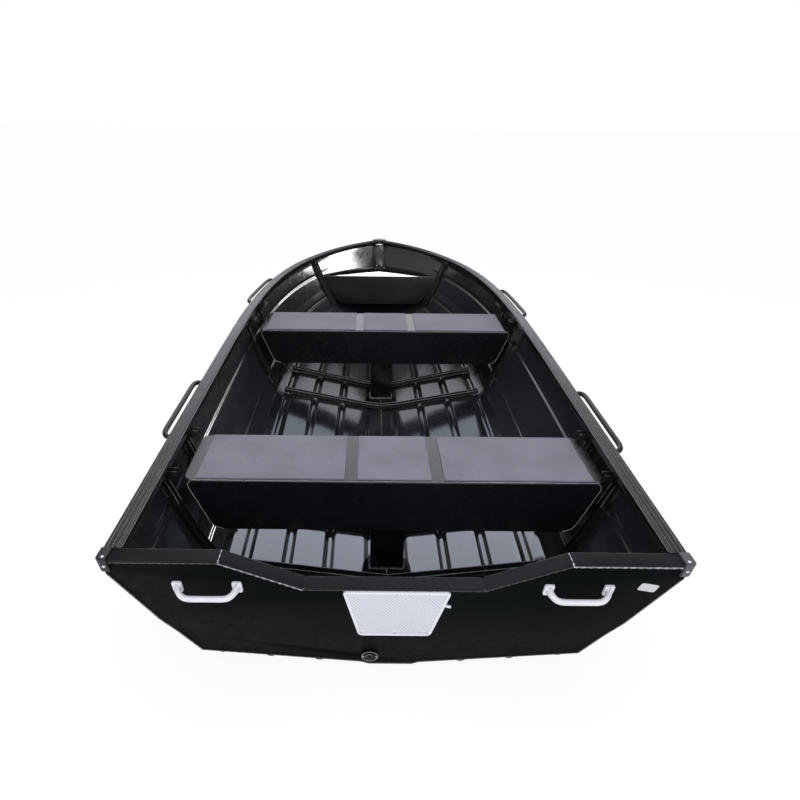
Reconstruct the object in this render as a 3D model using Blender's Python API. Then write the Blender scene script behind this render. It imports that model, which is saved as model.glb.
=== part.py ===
# Open aluminium boat with two box seats, at rest on level ground.
# Metres. Bow towards +Y, starboard +X, up +Z. The ground is z = 0.

import bpy
import bmesh
import numpy as np
from mathutils import Vector

for old in list(bpy.data.objects):
    bpy.data.objects.remove(old, do_unlink=True)

# Sheet metal
skin = 0.0025
longest_mitre = 1.6
plate = 0.003
transom_plate_thickness = 0.004
seam_gap = 0.0003
rib_clearance = 0.0004
frame_clearance = 0.0007
edge_clearance = 0.0010

# Transom
transom_rake = np.radians(15.5)
transom_lower_rake = np.radians(12.0)
crease_height = 0.155
corner_drop = 0.0295

# Sheer line at the outer edge of the gunwale: distance forward, half beam, height of the gunwale's top
sheer_table = [
    (-0.136, 0.741, 0.4935), (0.50, 0.742, 0.508), (1.10, 0.743, 0.521), (1.70, 0.737, 0.537),
    (2.10, 0.716, 0.548), (2.40, 0.678, 0.559), (2.65, 0.621, 0.571), (2.87, 0.538, 0.584),
    (3.03, 0.443, 0.596), (3.17, 0.333, 0.608), (3.29, 0.205, 0.619), (3.405, 0.034, 0.630),
]
# Chine at the outer surface: distance forward, half beam, height
chine_table = [
    (-0.03, 0.556, 0.067), (0.50, 0.566, 0.078), (1.10, 0.575, 0.092), (1.70, 0.576, 0.105),
    (2.10, 0.563, 0.119), (2.40, 0.533, 0.140), (2.65, 0.480, 0.170), (2.85, 0.405, 0.207),
    (3.00, 0.318, 0.246), (3.13, 0.213, 0.290), (3.24, 0.098, 0.334), (3.31, 0.014, 0.366),
]
# Keel and stem at the outer surface: distance forward, height
keel_table = [
    (-0.01, 0.0), (0.60, 0.0), (1.20, 0.0), (1.80, 0.0), (2.10, 0.002), (2.40, 0.014),
    (2.65, 0.040), (2.85, 0.078), (3.00, 0.126), (3.12, 0.187), (3.22, 0.264), (3.295, 0.352),
]
keel_flat_half = 0.065
keel_wall_run = 0.020
keel_wall_rise = 0.010
# Sides: a knuckle stands out by the bulge at one share of the height, and a shoulder turns the sheet upright
side_bulge = 0.0145
side_bulge_at = 0.38
side_shoulder = 0.86
side_shoulder_in = 0.002

# Pressed strakes of the bottom: centre as a fraction from keel wall to chine, half width at the foot,
# half width at the floor of the channel, depth
strake_table = [(0.27, 0.017, 0.008, 0.012), (0.575, 0.017, 0.008, 0.012), (0.875, 0.017, 0.008, 0.010)]
# Pressed rails of the sides: centre as a fraction of the side's height, half widths, depth
rail_table = [(0.235, 0.013, 0.006, 0.005), (0.665, 0.013, 0.006, 0.005)]
strake_fade_start = 2.75
strake_fade_end = 3.08
# Widths of a bottom and a side sheet amidships, which the shares above are taken from
bottom_reference = 0.485
side_reference = 0.46
# Half beam of the chine from which the keel plank and the knuckle begin to narrow, and half beam of the apex
full_chine_half = 0.50
apex_half = 0.012

# Gunwale extrusion
gunwale_width = 0.050
gunwale_sheet_in = 0.046
gunwale_wall = 0.003
gunwale_top_rise = 0.0055
gunwale_rib_width = 0.005
gunwale_rib_height = 0.0016
gunwale_lip_rise = 0.002
gunwale_lip_width = 0.003
gunwale_groove_end = 0.008
gunwale_groove_depth = 0.0015
gunwale_rib_places = (0.016, 0.028, 0.040)
gunwale_roof_gap = 0.0023
gunwale_edge = 0.002
gunwale_outer_flange = 0.026
gunwale_inner_flange = 0.016
gunwale_leg = 0.012

# Transom cap, as a half line in the transom plane: half width, height along the plane
cap_points = [(0.7165, 0.511), (0.440, 0.511), (0.235, 0.397)]
cap_depth = 0.045
cap_flange = 0.012
plate_corner_in = 0.002

# Seats: aft face, fore-and-aft width, top height, half width at the aft and the fore edge of the top,
# height of the bottom edge, half width there, distance of the seat's middle to starboard
seat_table = {
    "aft": (0.302, 0.305, 0.4500, 0.664, 0.670, 0.262, 0.584, 0.013),
    "fore": (1.790, 0.315, 0.4560, 0.664, 0.652, 0.272, 0.588, 0.015),
}
seat_rim = 0.004
# Edge of a seat's end from its lower lip to the middle of the top: distance in from the face, height above
# the bottom edge in the first rows and above the top in the others, and cut back from the full width
seat_edge = [
    (0.018, 0.0, 0.030), (0.001, 0.0, 0.030), (0.0, 0.001, 0.028), (0.0, 0.012, 0.006), (0.0, 0.030, 0.0),
    (0.0, -0.030, 0.0), (0.0, -0.014, 0.004), (0.0, -0.006, 0.016), (0.0018, -0.0018, 0.020),
    (0.006, 0.0, 0.016), (0.012, 0.0, 0.008), (0.022, 0.0, 0.002), (0.034, 0.0, 0.0),
]
seat_edge_lower = 5
post_half = 0.0600
post_depth = 0.080
post_setback = {"aft": 0.118, "fore": 0.141}
pad_thickness = 0.006
pad_edges = [(0.158, 0.628), (-0.117, 0.117), (-0.628, -0.158)]
pad_names = ["starboard", "middle", "port"]
pad_margin = 0.006

# Ribs and floor frames: channel sections open towards the inside
rib_width = 0.028
rib_depth = 0.022
rib_head_depth = 0.066
bow_rib_head_depth = 0.030
rib_head_share = 0.45
rib_head_below = 0.006
rib_foot_share = 0.10
knuckle_column = 5
frame_width = 0.030
frame_height = 0.022
rib_inset = plate + seam_gap + 0.5 * rib_width
# Floor frames: distance forward of each
frame_table = {
    "aft_seat_aft": 0.350, "aft_seat_fore": 0.645, "fore_seat_aft": 1.800, "fore_seat_fore": 2.095,
}

# Bow deck and its aft panel
deck_drop = 0.173
deck_height = sheer_table[-1][2] - deck_drop
deck_aft = 3.000
deck_nose_half = 0.036
panel_height = 0.195
panel_bottom = deck_height - panel_height
panel_top_gap = 0.008
panel_bottom_half = 0.286
bow_rib_y = deck_aft - seam_gap - 0.5 * rib_width


def material(name, colour, metallic, roughness):
    made = bpy.data.materials.new(name)
    made.use_nodes = True
    shader = made.node_tree.nodes["Principled BSDF"]
    shader.inputs["Base Color"].default_value = (*colour, 1.0)
    shader.inputs["Metallic"].default_value = metallic
    shader.inputs["Roughness"].default_value = roughness
    return made


black = (0.012, 0.015, 0.016)


def add_mesh(name, verts, faces, colour=black, metallic=0.3, roughness=0.3, smooth_below=30.0):
    """One object with its own material, faces turned outward."""
    mesh = bpy.data.meshes.new(name)
    mesh.from_pydata([tuple(map(float, v)) for v in verts], [], [tuple(map(int, f)) for f in faces])
    work = bmesh.new()
    work.from_mesh(mesh)
    bmesh.ops.recalc_face_normals(work, faces=work.faces)
    work.to_mesh(mesh)
    work.free()
    obj = bpy.data.objects.new(name, mesh)
    bpy.context.scene.collection.objects.link(obj)
    mesh.materials.append(material(name + "_finish", colour, metallic, roughness))
    mesh.shade_smooth()
    mesh.set_sharp_from_angle(angle=np.radians(smooth_below))
    return obj


def add_loft(name, rings, closed=False, **look):
    """Solid through rings of equal point counts. The ends are capped, or joined when closed."""
    rings = [np.asarray(r, float) for r in rings]
    n = len(rings[0])
    verts = np.concatenate(rings)
    faces = []
    count = len(rings)
    for i in range(count if closed else count - 1):
        a, b = i * n, ((i + 1) % count) * n
        for j in range(n):
            k = (j + 1) % n
            faces.append((a + j, a + k, b + k, b + j))
    if not closed:
        faces.append(tuple(range(n)))
        faces.append(tuple(reversed(range((count - 1) * n, count * n))))
    return add_mesh(name, verts, faces, **look)


def add_sheet(name, outer, inner, **look):
    """Closed sheet between two grids of points of the same size."""
    rows, cols = outer.shape[:2]
    verts = np.concatenate([outer.reshape(-1, 3), inner.reshape(-1, 3)])
    half = rows * cols

    def at(i, j, side):
        return side * half + i * cols + j

    faces = []
    for i in range(rows - 1):
        for j in range(cols - 1):
            faces.append((at(i, j, 0), at(i + 1, j, 0), at(i + 1, j + 1, 0), at(i, j + 1, 0)))
            faces.append((at(i, j, 1), at(i, j + 1, 1), at(i + 1, j + 1, 1), at(i + 1, j, 1)))
    for i in range(rows - 1):
        faces.append((at(i, 0, 0), at(i, 0, 1), at(i + 1, 0, 1), at(i + 1, 0, 0)))
        faces.append((at(i, cols - 1, 0), at(i + 1, cols - 1, 0), at(i + 1, cols - 1, 1), at(i, cols - 1, 1)))
    for j in range(cols - 1):
        faces.append((at(0, j, 0), at(0, j + 1, 0), at(0, j + 1, 1), at(0, j, 1)))
        faces.append((at(rows - 1, j, 0), at(rows - 1, j, 1), at(rows - 1, j + 1, 1), at(rows - 1, j + 1, 0)))
    return add_mesh(name, verts, faces, **look)


def curve(table, column):
    """Smooth curve through a table whose first column is the distance forward, free of overshoot."""
    data = np.array(table, float)
    x, y = data[:, 0], data[:, column]
    h = np.diff(x)
    d = np.diff(y) / h
    m = np.zeros(len(x))
    m[0], m[-1] = d[0], d[-1]
    for i in range(1, len(x) - 1):
        if d[i - 1] * d[i] > 0:
            w1, w2 = 2 * h[i] + h[i - 1], h[i] + 2 * h[i - 1]
            m[i] = (w1 + w2) / (w1 / d[i - 1] + w2 / d[i])

    def value(q):
        q = np.asarray(q, float)
        i = np.clip(np.searchsorted(x, q) - 1, 0, len(h) - 1)
        t = (q - x[i]) / h[i]
        return (
            (1 + 2 * t) * (1 - t) ** 2 * y[i]
            + t * (1 - t) ** 2 * h[i] * m[i]
            + t * t * (3 - 2 * t) * y[i + 1]
            + t * t * (t - 1) * h[i] * m[i + 1]
        )

    return value


def transom_y(z):
    """The transom's inner face: distance forward at a height."""
    upper = -np.asarray(z, float) * np.tan(transom_rake)
    at_crease = -crease_height * np.tan(transom_rake)
    lower = at_crease + (crease_height - z) * np.tan(transom_lower_rake)
    return np.where(z > crease_height, upper, lower)


sheer_half, sheer_top = curve(sheer_table, 1), curve(sheer_table, 2)
chine_half, chine_height = curve(chine_table, 1), curve(chine_table, 2)
keel_height = curve(keel_table, 1)

# Stations from the transom to the stem, close together where the bow bends
stations = np.concatenate([np.linspace(0.0, 0.62, 10), np.linspace(0.66, 0.86, 7), np.linspace(0.89, 1.0, 7)])


def along(table, start):
    return start + (table[-1][0] - start) * stations


def smooth_step(q, a, b):
    t = np.clip((q - a) / (b - a), 0.0, 1.0)
    return t * t * (3 - 2 * t)


def skin_grid(pressed):
    """Outer surface of one half as a grid, stations by points from keel to sheer, and the chine's column."""
    keel_y = along(keel_table, float(transom_y(keel_table[0][1])) + seam_gap)
    chine_y = along(chine_table, float(transom_y(chine_table[0][2])) + seam_gap)
    sheer_y = along(sheer_table, float(transom_y(sheer_table[0][2])) + seam_gap)
    keel = np.stack([0 * keel_y, keel_y, keel_height(keel_y)], 1)
    chine = np.stack([chine_half(chine_y), chine_y, chine_height(chine_y)], 1)
    top_half = sheer_half(sheer_y) - (gunwale_width - gunwale_sheet_in)
    top_half = np.maximum(top_half, apex_half)
    sheer = np.stack([top_half, sheer_y, sheer_top(sheer_y) - gunwale_top_rise], 1)
    narrow = np.clip(chine[:, 0] / full_chine_half, 0.0, 1.0)
    flat = keel_flat_half * narrow
    wall = keel_wall_run * narrow
    rise = keel_wall_rise * narrow
    columns = [keel]
    columns.append(keel + np.stack([flat, 0 * flat, 0 * flat], 1))
    root = keel + np.stack([flat + wall, 0 * flat, rise], 1)
    columns.append(root)
    fade = 1.0 - smooth_step(keel_y, strake_fade_start, strake_fade_end)
    panel = chine - root
    length = np.linalg.norm(panel, axis=1)[:, None]
    across = panel / length
    out = np.cross(across, np.array([0.0, 1.0, 0.0]))
    out *= np.where(out[:, 2:3] > 0, -1.0, 1.0)
    out /= np.linalg.norm(out, axis=1)[:, None]
    for centre, foot, floor, depth in strake_table:
        for offset, amount in ((-foot, 0.0), (-floor, depth), (floor, depth), (foot, 0.0)):
            u = centre + offset / bottom_reference
            point = root + panel * u
            if pressed:
                point = point + out * (amount * fade)[:, None]
            columns.append(point)
    columns.append(chine)
    chine_column = len(columns) - 1
    shoulder = chine + (sheer - chine) * side_shoulder
    shoulder[:, 0] = sheer[:, 0] - side_shoulder_in
    side = shoulder - chine
    side_length = np.linalg.norm(side, axis=1)[:, None]
    side_out = np.cross(np.array([0.0, 1.0, 0.0]), side / side_length)
    side_out *= np.where(side_out[:, 0:1] < 0, -1.0, 1.0)
    bulge_here = side_bulge * narrow

    def side_point(v):
        knuckle_at = side_bulge_at / side_shoulder
        up = v / side_shoulder
        share = up / knuckle_at if up < knuckle_at else (1 - up) / (1 - knuckle_at)
        return chine + side * up + side_out * bulge_here[:, None] * share

    places = []
    for centre, foot, floor, depth in rail_table:
        for offset, amount in ((-foot, 0.0), (-floor, depth), (floor, depth), (foot, 0.0)):
            places.append((centre + offset / side_reference, amount))
    places.append((side_bulge_at, 0.0))
    places.append((side_shoulder, 0.0))
    for v, amount in sorted(places):
        point = side_point(v)
        if pressed:
            point = point + side_out * (amount * fade)[:, None]
        columns.append(point)
    columns.append(sheer)
    grid = np.stack(columns, 1)
    grid[0, :, 1] = transom_y(grid[0, :, 2]) + seam_gap
    return grid, chine_column


def offset_in(grid, depth):
    """The grid moved inward by the sheet's thickness, mitred at the folds."""
    a = grid[1:, :-1] - grid[:-1, 1:]
    b = grid[1:, 1:] - grid[:-1, :-1]
    face = np.cross(b, a)
    face /= np.linalg.norm(face, axis=2)[:, :, None]
    away_from_middle = np.array([1.0, 0.0, -0.6])
    face = face * np.sign((face * away_from_middle).sum(2))[:, :, None]
    total = np.zeros(grid.shape)
    for di in (0, 1):
        for dj in (0, 1):
            total[di : total.shape[0] - 1 + di, dj : total.shape[1] - 1 + dj] += face
    total[:, 0, 0] = 0.0
    total /= np.linalg.norm(total, axis=2)[:, :, None]
    dots = np.zeros(grid.shape[:2])
    counts = np.zeros(grid.shape[:2])
    for di in (0, 1):
        for dj in (0, 1):
            here = (slice(di, grid.shape[0] - 1 + di), slice(dj, grid.shape[1] - 1 + dj))
            dots[here] += (total[here] * face).sum(2)
            counts[here] += 1
    scale = np.clip(counts / dots, 1.0, longest_mitre)
    moved = grid - total * (depth * scale)[:, :, None]
    moved[0, :, 1] = transom_y(moved[0, :, 2]) + seam_gap
    return moved


pressed_outer, chine_column = skin_grid(True)
pressed_inner = offset_in(pressed_outer, skin)
plain_outer, _ = skin_grid(False)
plain_inner = offset_in(plain_outer, skin)


def mirrored(points, side):
    return np.asarray(points, float) * np.array([side, 1.0, 1.0])


def mirrored_flat(points, side):
    return [(x * side, z) for x, z in points]


def pull_back(outer, inner, column, neighbour, amount):
    """Opens a seam: the edge column moves towards its neighbour."""
    for grid in (outer, inner):
        step = grid[:, neighbour] - grid[:, column]
        step /= np.linalg.norm(step, axis=1)[:, None]
        grid[:, column] += step * amount


# Hull panels
for side_name, side in (("starboard", 1.0), ("port", -1.0)):
    outer = pressed_outer[:, : chine_column + 1].copy()
    inner = pressed_inner[:, : chine_column + 1].copy()
    pull_back(outer, inner, -1, -2, 0.5 * seam_gap)
    outer[:, 0, 0] = 0.5 * seam_gap
    inner[:, 0, 0] = 0.5 * seam_gap
    inner[..., 0] = np.maximum(inner[..., 0], 0.5 * seam_gap)
    add_sheet("hull_bottom_" + side_name, mirrored(outer, side), mirrored(inner, side))
    outer = pressed_outer[:, chine_column:].copy()
    inner = pressed_inner[:, chine_column:].copy()
    pull_back(outer, inner, 0, 1, 0.5 * seam_gap)
    add_sheet("hull_side_" + side_name, mirrored(outer, side), mirrored(inner, side))


def section_at(grid, y):
    """The plain inner skin cut by a plane across the boat: one point per column."""
    return np.array([
        (np.interp(y, grid[:, j, 1], grid[:, j, 0]), y, np.interp(y, grid[:, j, 1], grid[:, j, 2]))
        for j in range(grid.shape[1])
    ])


# Transom plate: half outline from the keel to the top, at the outer surface of the hull
half = plain_outer[0][:, [0, 2]]
corner_z = sheer_table[0][2] - corner_drop
top_x = float(np.interp(corner_z, half[chine_column:, 1], half[chine_column:, 0]))
cap_top = [(x, s * np.cos(transom_rake) - plate - rib_clearance) for x, s in cap_points]
step_x = cap_top[0][0] - plate_corner_in
right = [tuple(point) for point in half if point[1] < corner_z - plate]
right += [(top_x, corner_z), (step_x, corner_z), (step_x, cap_top[0][1])]
right += cap_top[1:]
outline = np.array(right + [(-x, z) for x, z in reversed(right[1:])])


def transom_strip(name):
    """Plate in two flats that meet at the crease, each a polygon carried through the thickness."""
    work = bmesh.new()
    front, back = [], []
    for x, z in outline:
        front.append(work.verts.new((x, float(transom_y(z)), z)))
        back.append(work.verts.new((x, float(transom_y(z)) - transom_plate_thickness, z)))
    work.faces.new(front)
    work.faces.new(list(reversed(back)))
    n = len(outline)
    for i in range(n):
        k = (i + 1) % n
        work.faces.new((front[i], back[i], back[k], front[k]))
    everything = work.verts[:] + work.edges[:] + work.faces[:]
    bmesh.ops.bisect_plane(work, geom=everything, plane_co=(0, 0, crease_height), plane_no=(0, 0, 1))
    for vert in work.verts:
        face_y = float(transom_y(vert.co.z))
        outside = vert.co.y < face_y - 0.5 * transom_plate_thickness
        vert.co.y = face_y - transom_plate_thickness if outside else face_y
    bmesh.ops.recalc_face_normals(work, faces=work.faces)
    mesh = bpy.data.meshes.new(name)
    work.to_mesh(mesh)
    work.free()
    obj = bpy.data.objects.new(name, mesh)
    bpy.context.scene.collection.objects.link(obj)
    mesh.materials.append(material(name + "_finish", black, 0.3, 0.3))
    return obj


transom = transom_strip("transom_plate")


def on_transom(x, s, out):
    """Point by half-plane coordinates: across, up along the transom, out from its outer face."""
    z = s * np.cos(transom_rake)
    normal = np.array([0.0, -np.cos(transom_rake), -np.sin(transom_rake)])
    base = np.array([x, float(transom_y(z)) - transom_plate_thickness, z])
    return base + normal * out


# Drain: hole, flange and plug
drain_x, drain_s = -0.061, 0.046
drain_hole_radius = 0.0130
drain_flange_radius = 0.0250
drain_flange_height = 0.0045
drain_bore_radius = 0.0105
drain_plug_radius = 0.0102
drain_sleeve_depth = 0.012
drain_collar_radius = 0.0145
drain_collar_height = 0.0070
# Plug: radius and height from the transom's outer face, from its inner end to the top of its knob
drain_plug_profile = [
    (drain_plug_radius - 0.001, -0.010), (drain_plug_radius, -0.009), (drain_plug_radius, 0.006),
    (drain_plug_radius - 0.001, 0.0065), (0.0050, 0.0065), (0.0045, 0.0110),
]
low_normal = np.array([0.0, -np.cos(transom_lower_rake), -np.sin(transom_lower_rake)])
low_up = np.array([0.0, -np.sin(transom_lower_rake), np.cos(transom_lower_rake)])
drain_z = drain_s * np.cos(transom_lower_rake)
drain_centre = np.array([drain_x, float(transom_y(drain_z)) - transom_plate_thickness, drain_z])


def circle(centre, radius, normal, up, count, phase=0.0):
    side = np.cross(up, normal)
    angle = np.arange(count) * 2 * np.pi / count + phase
    return centre + radius * (np.cos(angle)[:, None] * side + np.sin(angle)[:, None] * up)


def cut_out(obj, cutter, name):
    cutter.hide_render = True
    cutter.display_type = "WIRE"
    cut = obj.modifiers.new(name, "BOOLEAN")
    cut.operation = "DIFFERENCE"
    cut.solver = "EXACT"
    cut.object = cutter


drain_cut = add_loft("drain_cutter", [
    circle(drain_centre + low_normal * reach, drain_hole_radius + seam_gap, low_normal, low_up, 24)
    for reach in (-0.02, 0.02)
])
cut_out(transom, drain_cut, "drain_hole")


def add_turned(name, profile, centre, normal, up, count=24, closed=True, **look):
    """Ring turned about an axis: profile of radius and height points, closed on itself."""
    rings = [circle(centre + normal * h, r, normal, up, count) for r, h in profile]
    return add_loft(name, rings, closed=closed, **look)


add_turned(
    "drain_flange",
    [(drain_bore_radius, -drain_sleeve_depth), (drain_hole_radius, -drain_sleeve_depth),
     (drain_hole_radius, seam_gap), (drain_flange_radius, seam_gap),
     (drain_flange_radius - 0.001, drain_flange_height), (drain_collar_radius + 0.0005, drain_flange_height),
     (drain_collar_radius - 0.0005, drain_collar_height), (drain_bore_radius, drain_collar_height)],
    drain_centre, low_normal, low_up, colour=(0.03, 0.033, 0.035), metallic=0.2, roughness=0.4,
)
add_turned(
    "drain_plug", drain_plug_profile, drain_centre, low_normal, low_up, count=20, closed=False,
    colour=(0.02, 0.02, 0.02), metallic=0.0, roughness=0.5,
)

# Transom cap: channel mitred along the five straight parts of the top edge
cap_line = [(-x, s) for x, s in cap_points] + [(x, s) for x, s in reversed(cap_points)]
cap_line = np.array(cap_line)


def mitre_offsets(line, distance):
    """The line moved sideways in its own plane, corners mitred; positive is up."""
    step = np.diff(line, axis=0)
    step /= np.linalg.norm(step, axis=1)[:, None]
    normal = np.stack([-step[:, 1], step[:, 0]], 1)
    moved = []
    for i in range(len(line)):
        if i == 0:
            moved.append(line[i] + normal[0] * distance)
        elif i == len(line) - 1:
            moved.append(line[i] + normal[-1] * distance)
        else:
            bisector = normal[i - 1] + normal[i]
            bisector /= np.linalg.norm(bisector)
            moved.append(line[i] + bisector * distance / (bisector @ normal[i]))
    return np.array(moved)


cap_section = [
    (-plate - seam_gap, 0.0), (cap_depth - plate, 0.0), (cap_depth - plate, -cap_flange),
    (cap_depth - 2 * plate, -cap_flange), (cap_depth - 2 * plate, -plate), (-seam_gap, -plate),
    (-seam_gap, -cap_flange), (-plate - seam_gap, -cap_flange),
]
cap_rings = []
for i in range(len(cap_line)):
    ring = []
    for forward, down in cap_section:
        x, s = mitre_offsets(cap_line, down)[i]
        base = on_transom(x, s, 0.0)
        ring.append(base + np.array([0.0, forward, 0.0]))
    cap_rings.append(ring)
add_loft("transom_cap", cap_rings, smooth_below=20.0)

# Motor pad: rounded trapezoid with a raised border
pad_top_half, pad_bottom_half = 0.143, 0.102
pad_top_s, pad_bottom_s = 0.3805, 0.163
pad_centre_x = 0.008
motor_pad_border = 0.007
motor_pad_thickness = 0.006
motor_pad_corner = 0.012
motor_pad_least_corner = 0.004
motor_pad_bevel = 0.001
motor_pad_recess = 0.0005


def rounded_polygon(corners, radius, count=5):
    """Closed outline with each corner replaced by an arc, of one radius or of its own."""
    corners = np.array(corners, float)
    n = len(corners)
    radii = np.broadcast_to(radius, n)
    points = []
    for i in range(n):
        before, here, after = corners[i - 1], corners[i], corners[(i + 1) % n]
        a = (before - here) / np.linalg.norm(before - here)
        b = (after - here) / np.linalg.norm(after - here)
        half_angle = 0.5 * np.arccos(np.clip(a @ b, -1, 1))
        r = radii[i]
        reach = r / np.tan(half_angle)
        bisector = (a + b) / np.linalg.norm(a + b)
        centre = here + bisector * r / np.sin(half_angle)
        start, end = here + a * reach - centre, here + b * reach - centre
        angle_start = np.arctan2(start[1], start[0])
        turn = np.arctan2(end[1], end[0]) - angle_start
        turn = (turn + np.pi) % (2 * np.pi) - np.pi
        for k in range(count):
            angle = angle_start + turn * k / (count - 1)
            points.append(centre + r * np.array([np.cos(angle), np.sin(angle)]))
    return np.array(points)


def pad_outline(inset):
    corners = [
        (pad_centre_x - pad_bottom_half + inset, pad_bottom_s + inset),
        (pad_centre_x + pad_bottom_half - inset, pad_bottom_s + inset),
        (pad_centre_x + pad_top_half - inset, pad_top_s - inset),
        (pad_centre_x - pad_top_half + inset, pad_top_s - inset),
    ]
    return rounded_polygon(corners, max(motor_pad_corner - inset, motor_pad_least_corner))


pad_rings = []
for inset, out in (
    (0.0, seam_gap), (0.0, motor_pad_thickness),
    (motor_pad_bevel, motor_pad_thickness + motor_pad_bevel),
    (motor_pad_border - motor_pad_bevel, motor_pad_thickness + motor_pad_bevel),
    (motor_pad_border, motor_pad_thickness - motor_pad_recess),
):
    pad_rings.append([on_transom(x, s, out) for x, s in pad_outline(inset)])
add_loft("motor_pad", pad_rings, colour=(0.80, 0.81, 0.82), metallic=0.0, roughness=0.45)

# Transom handles: each a cast bow between two feet
handle_half_span = 0.0775
handle_foot_half = (0.013, 0.021)
handle_foot_thickness = 0.005
handle_radius = 0.0085
handle_root_stoutness = 1.12
handle_foot_bevel = (0.0015, 0.002)


def ellipse(centre, first, second, a, b, count=12):
    angle = np.arange(count) * 2 * np.pi / count
    return centre + a * np.cos(angle)[:, None] * first + b * np.sin(angle)[:, None] * second


def square_ring(centre, first, second, a, b):
    """Ring of twelve points on a rounded rectangle."""
    angle = np.arange(12) * 2 * np.pi / 12
    c, s = np.cos(angle), np.sin(angle)
    squareness = 0.45
    c, s = np.sign(c) * np.abs(c) ** squareness, np.sign(s) * np.abs(s) ** squareness
    return centre + a * c[:, None] * first + b * s[:, None] * second


trans_out = np.array([0.0, -np.cos(transom_rake), -np.sin(transom_rake)])
trans_up = np.array([0.0, -np.sin(transom_rake), np.cos(transom_rake)])
across = np.array([1.0, 0.0, 0.0])


# Bend of a transom handle: distance from the foot's middle along the grip, out from the transom, down
handle_bend = [
    (0.0005, 0.013, 0.003), (0.003, 0.024, 0.011), (0.010, 0.034, 0.020), (0.022, 0.040, 0.027),
    (0.040, 0.041, 0.030),
]
handle_centres = {"port": -0.485, "starboard": 0.478}
handle_s = 0.398

for side_name, centre_x in handle_centres.items():
    left = on_transom(centre_x - handle_half_span, handle_s, 0.0)
    a, b = handle_foot_half
    step_up, step_in = handle_foot_bevel
    feet = [
        (seam_gap, a, b), (handle_foot_thickness, a, b),
        (handle_foot_thickness + step_up, a - step_in, b - step_in),
    ]
    path = [left + across * run + trans_out * reach - trans_up * drop for run, reach, drop in handle_bend]
    path += [np.array([2 * centre_x - p[0], p[1], p[2]]) for p in reversed(path)]
    start_second = np.cross(trans_out, across)
    rings = [square_ring(left + trans_out * h, across, start_second, ra, rb) for h, ra, rb in feet]
    tangents = np.gradient(np.array(path), axis=0)
    first = across
    for i, (p, t) in enumerate(zip(path, tangents)):
        t = t / np.linalg.norm(t)
        if i in (0, len(path) - 1):
            t = trans_out if i == 0 else -trans_out
        first = first - t * (first @ t)
        first = first / np.linalg.norm(first)
        second = np.cross(t, first)
        stout = handle_radius * (handle_root_stoutness if i in (0, len(path) - 1) else 1.0)
        rings.append(ellipse(p, first, second, stout, stout))
    right_foot = left.copy()
    right_foot[0] = 2 * centre_x - left[0]
    second = np.cross(-trans_out, -across)
    for h, ra, rb in reversed(feet):
        rings.append(square_ring(right_foot + trans_out * h, -across, second, ra, rb))
    add_loft(
        "transom_handle_" + side_name, rings,
        colour=(0.82, 0.83, 0.84), metallic=0.0, roughness=0.4, smooth_below=40.0,
    )


# Gunwales: ribbed extrusion carried along the sheer
def gunwale_section(lean):
    """Section points: outward from the outer face of the hull sheet, up from the sheet's top edge.
    The two legs that hold the sheet lean with it."""
    inner_x = -gunwale_sheet_in
    outer_x = gunwale_width - gunwale_sheet_in
    top = gunwale_top_rise
    under = top - gunwale_wall
    ceiling = gunwale_roof_gap
    clear = seam_gap
    inside = -skin * np.hypot(1.0, lean) - 2 * clear
    shift = -lean * gunwale_leg
    lip_x, groove_x = inner_x + gunwale_lip_width, inner_x + gunwale_groove_end
    points = [
        (inner_x, -gunwale_inner_flange), (inner_x, top + gunwale_lip_rise), (lip_x, top + gunwale_lip_rise),
        (lip_x, top - gunwale_groove_depth), (groove_x, top - gunwale_groove_depth), (groove_x, top),
    ]
    for place in gunwale_rib_places:
        for share, rise in ((-0.5, 0.0), (-0.3, gunwale_rib_height), (0.3, gunwale_rib_height), (0.5, 0.0)):
            points.append((inner_x + place + share * gunwale_rib_width, top + rise))
    points += [
        (outer_x - gunwale_edge, top), (outer_x, top - gunwale_edge), (outer_x, -gunwale_outer_flange),
        (outer_x - gunwale_wall, -gunwale_outer_flange), (outer_x - gunwale_wall, -gunwale_leg),
        (clear + shift, -gunwale_leg), (clear, 0.0), (clear, ceiling),
        (inside, ceiling), (inside, 0.0), (inside + shift, -gunwale_leg),
        (inside - skin + shift, -gunwale_leg), (inside - skin, 0.0),
        (inside - skin, under), (inner_x + gunwale_wall, under),
        (inner_x + gunwale_wall, -gunwale_inner_flange),
    ]
    return points


gunwale_line = pressed_outer[:, -1].copy()
gunwale_aft = cap_depth - plate - transom_plate_thickness + 2 * seam_gap
first_run = gunwale_line[1] - gunwale_line[0]
gunwale_line[0] += first_run * gunwale_aft / first_run[1]


def level(vector):
    """Unit vector of a direction's level part."""
    flat = np.array([vector[0], vector[1], 0.0])
    return flat / np.linalg.norm(flat)


def outward_of(direction):
    return np.array([direction[1], -direction[0], 0.0])


for side_name, side in (("starboard", 1.0), ("port", -1.0)):
    rings = []
    last = len(gunwale_line) - 1
    for i, p in enumerate(gunwale_line):
        before = level(p - gunwale_line[max(i - 1, 0)] if i > 0 else gunwale_line[1] - p)
        after = level(gunwale_line[min(i + 1, last)] - p if i < last else p - gunwale_line[i - 1])
        out_dir = outward_of(before) + outward_of(after)
        out_dir /= out_dir @ outward_of(after)
        below = pressed_outer[i, -2] - p
        lean = max(0.0, float(-(below @ out_dir) / -below[2]) / float(out_dir @ out_dir))
        ring = []
        for out, up in gunwale_section(lean):
            q = p + out_dir * out + np.array([0.0, 0.0, up])
            if i == 0:
                q[1] = float(transom_y(q[2])) + gunwale_aft
            if i == last:
                # The end is cut along the middle plane of the boat
                q = q + after * ((q[0] - 2 * seam_gap) / -after[0])
            ring.append(q)
        rings.append(mirrored(ring, side))
    add_loft(
        "gunwale_" + side_name, rings,
        colour=(0.03, 0.034, 0.036), metallic=0.4, roughness=0.3, smooth_below=28.0,
    )


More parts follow.
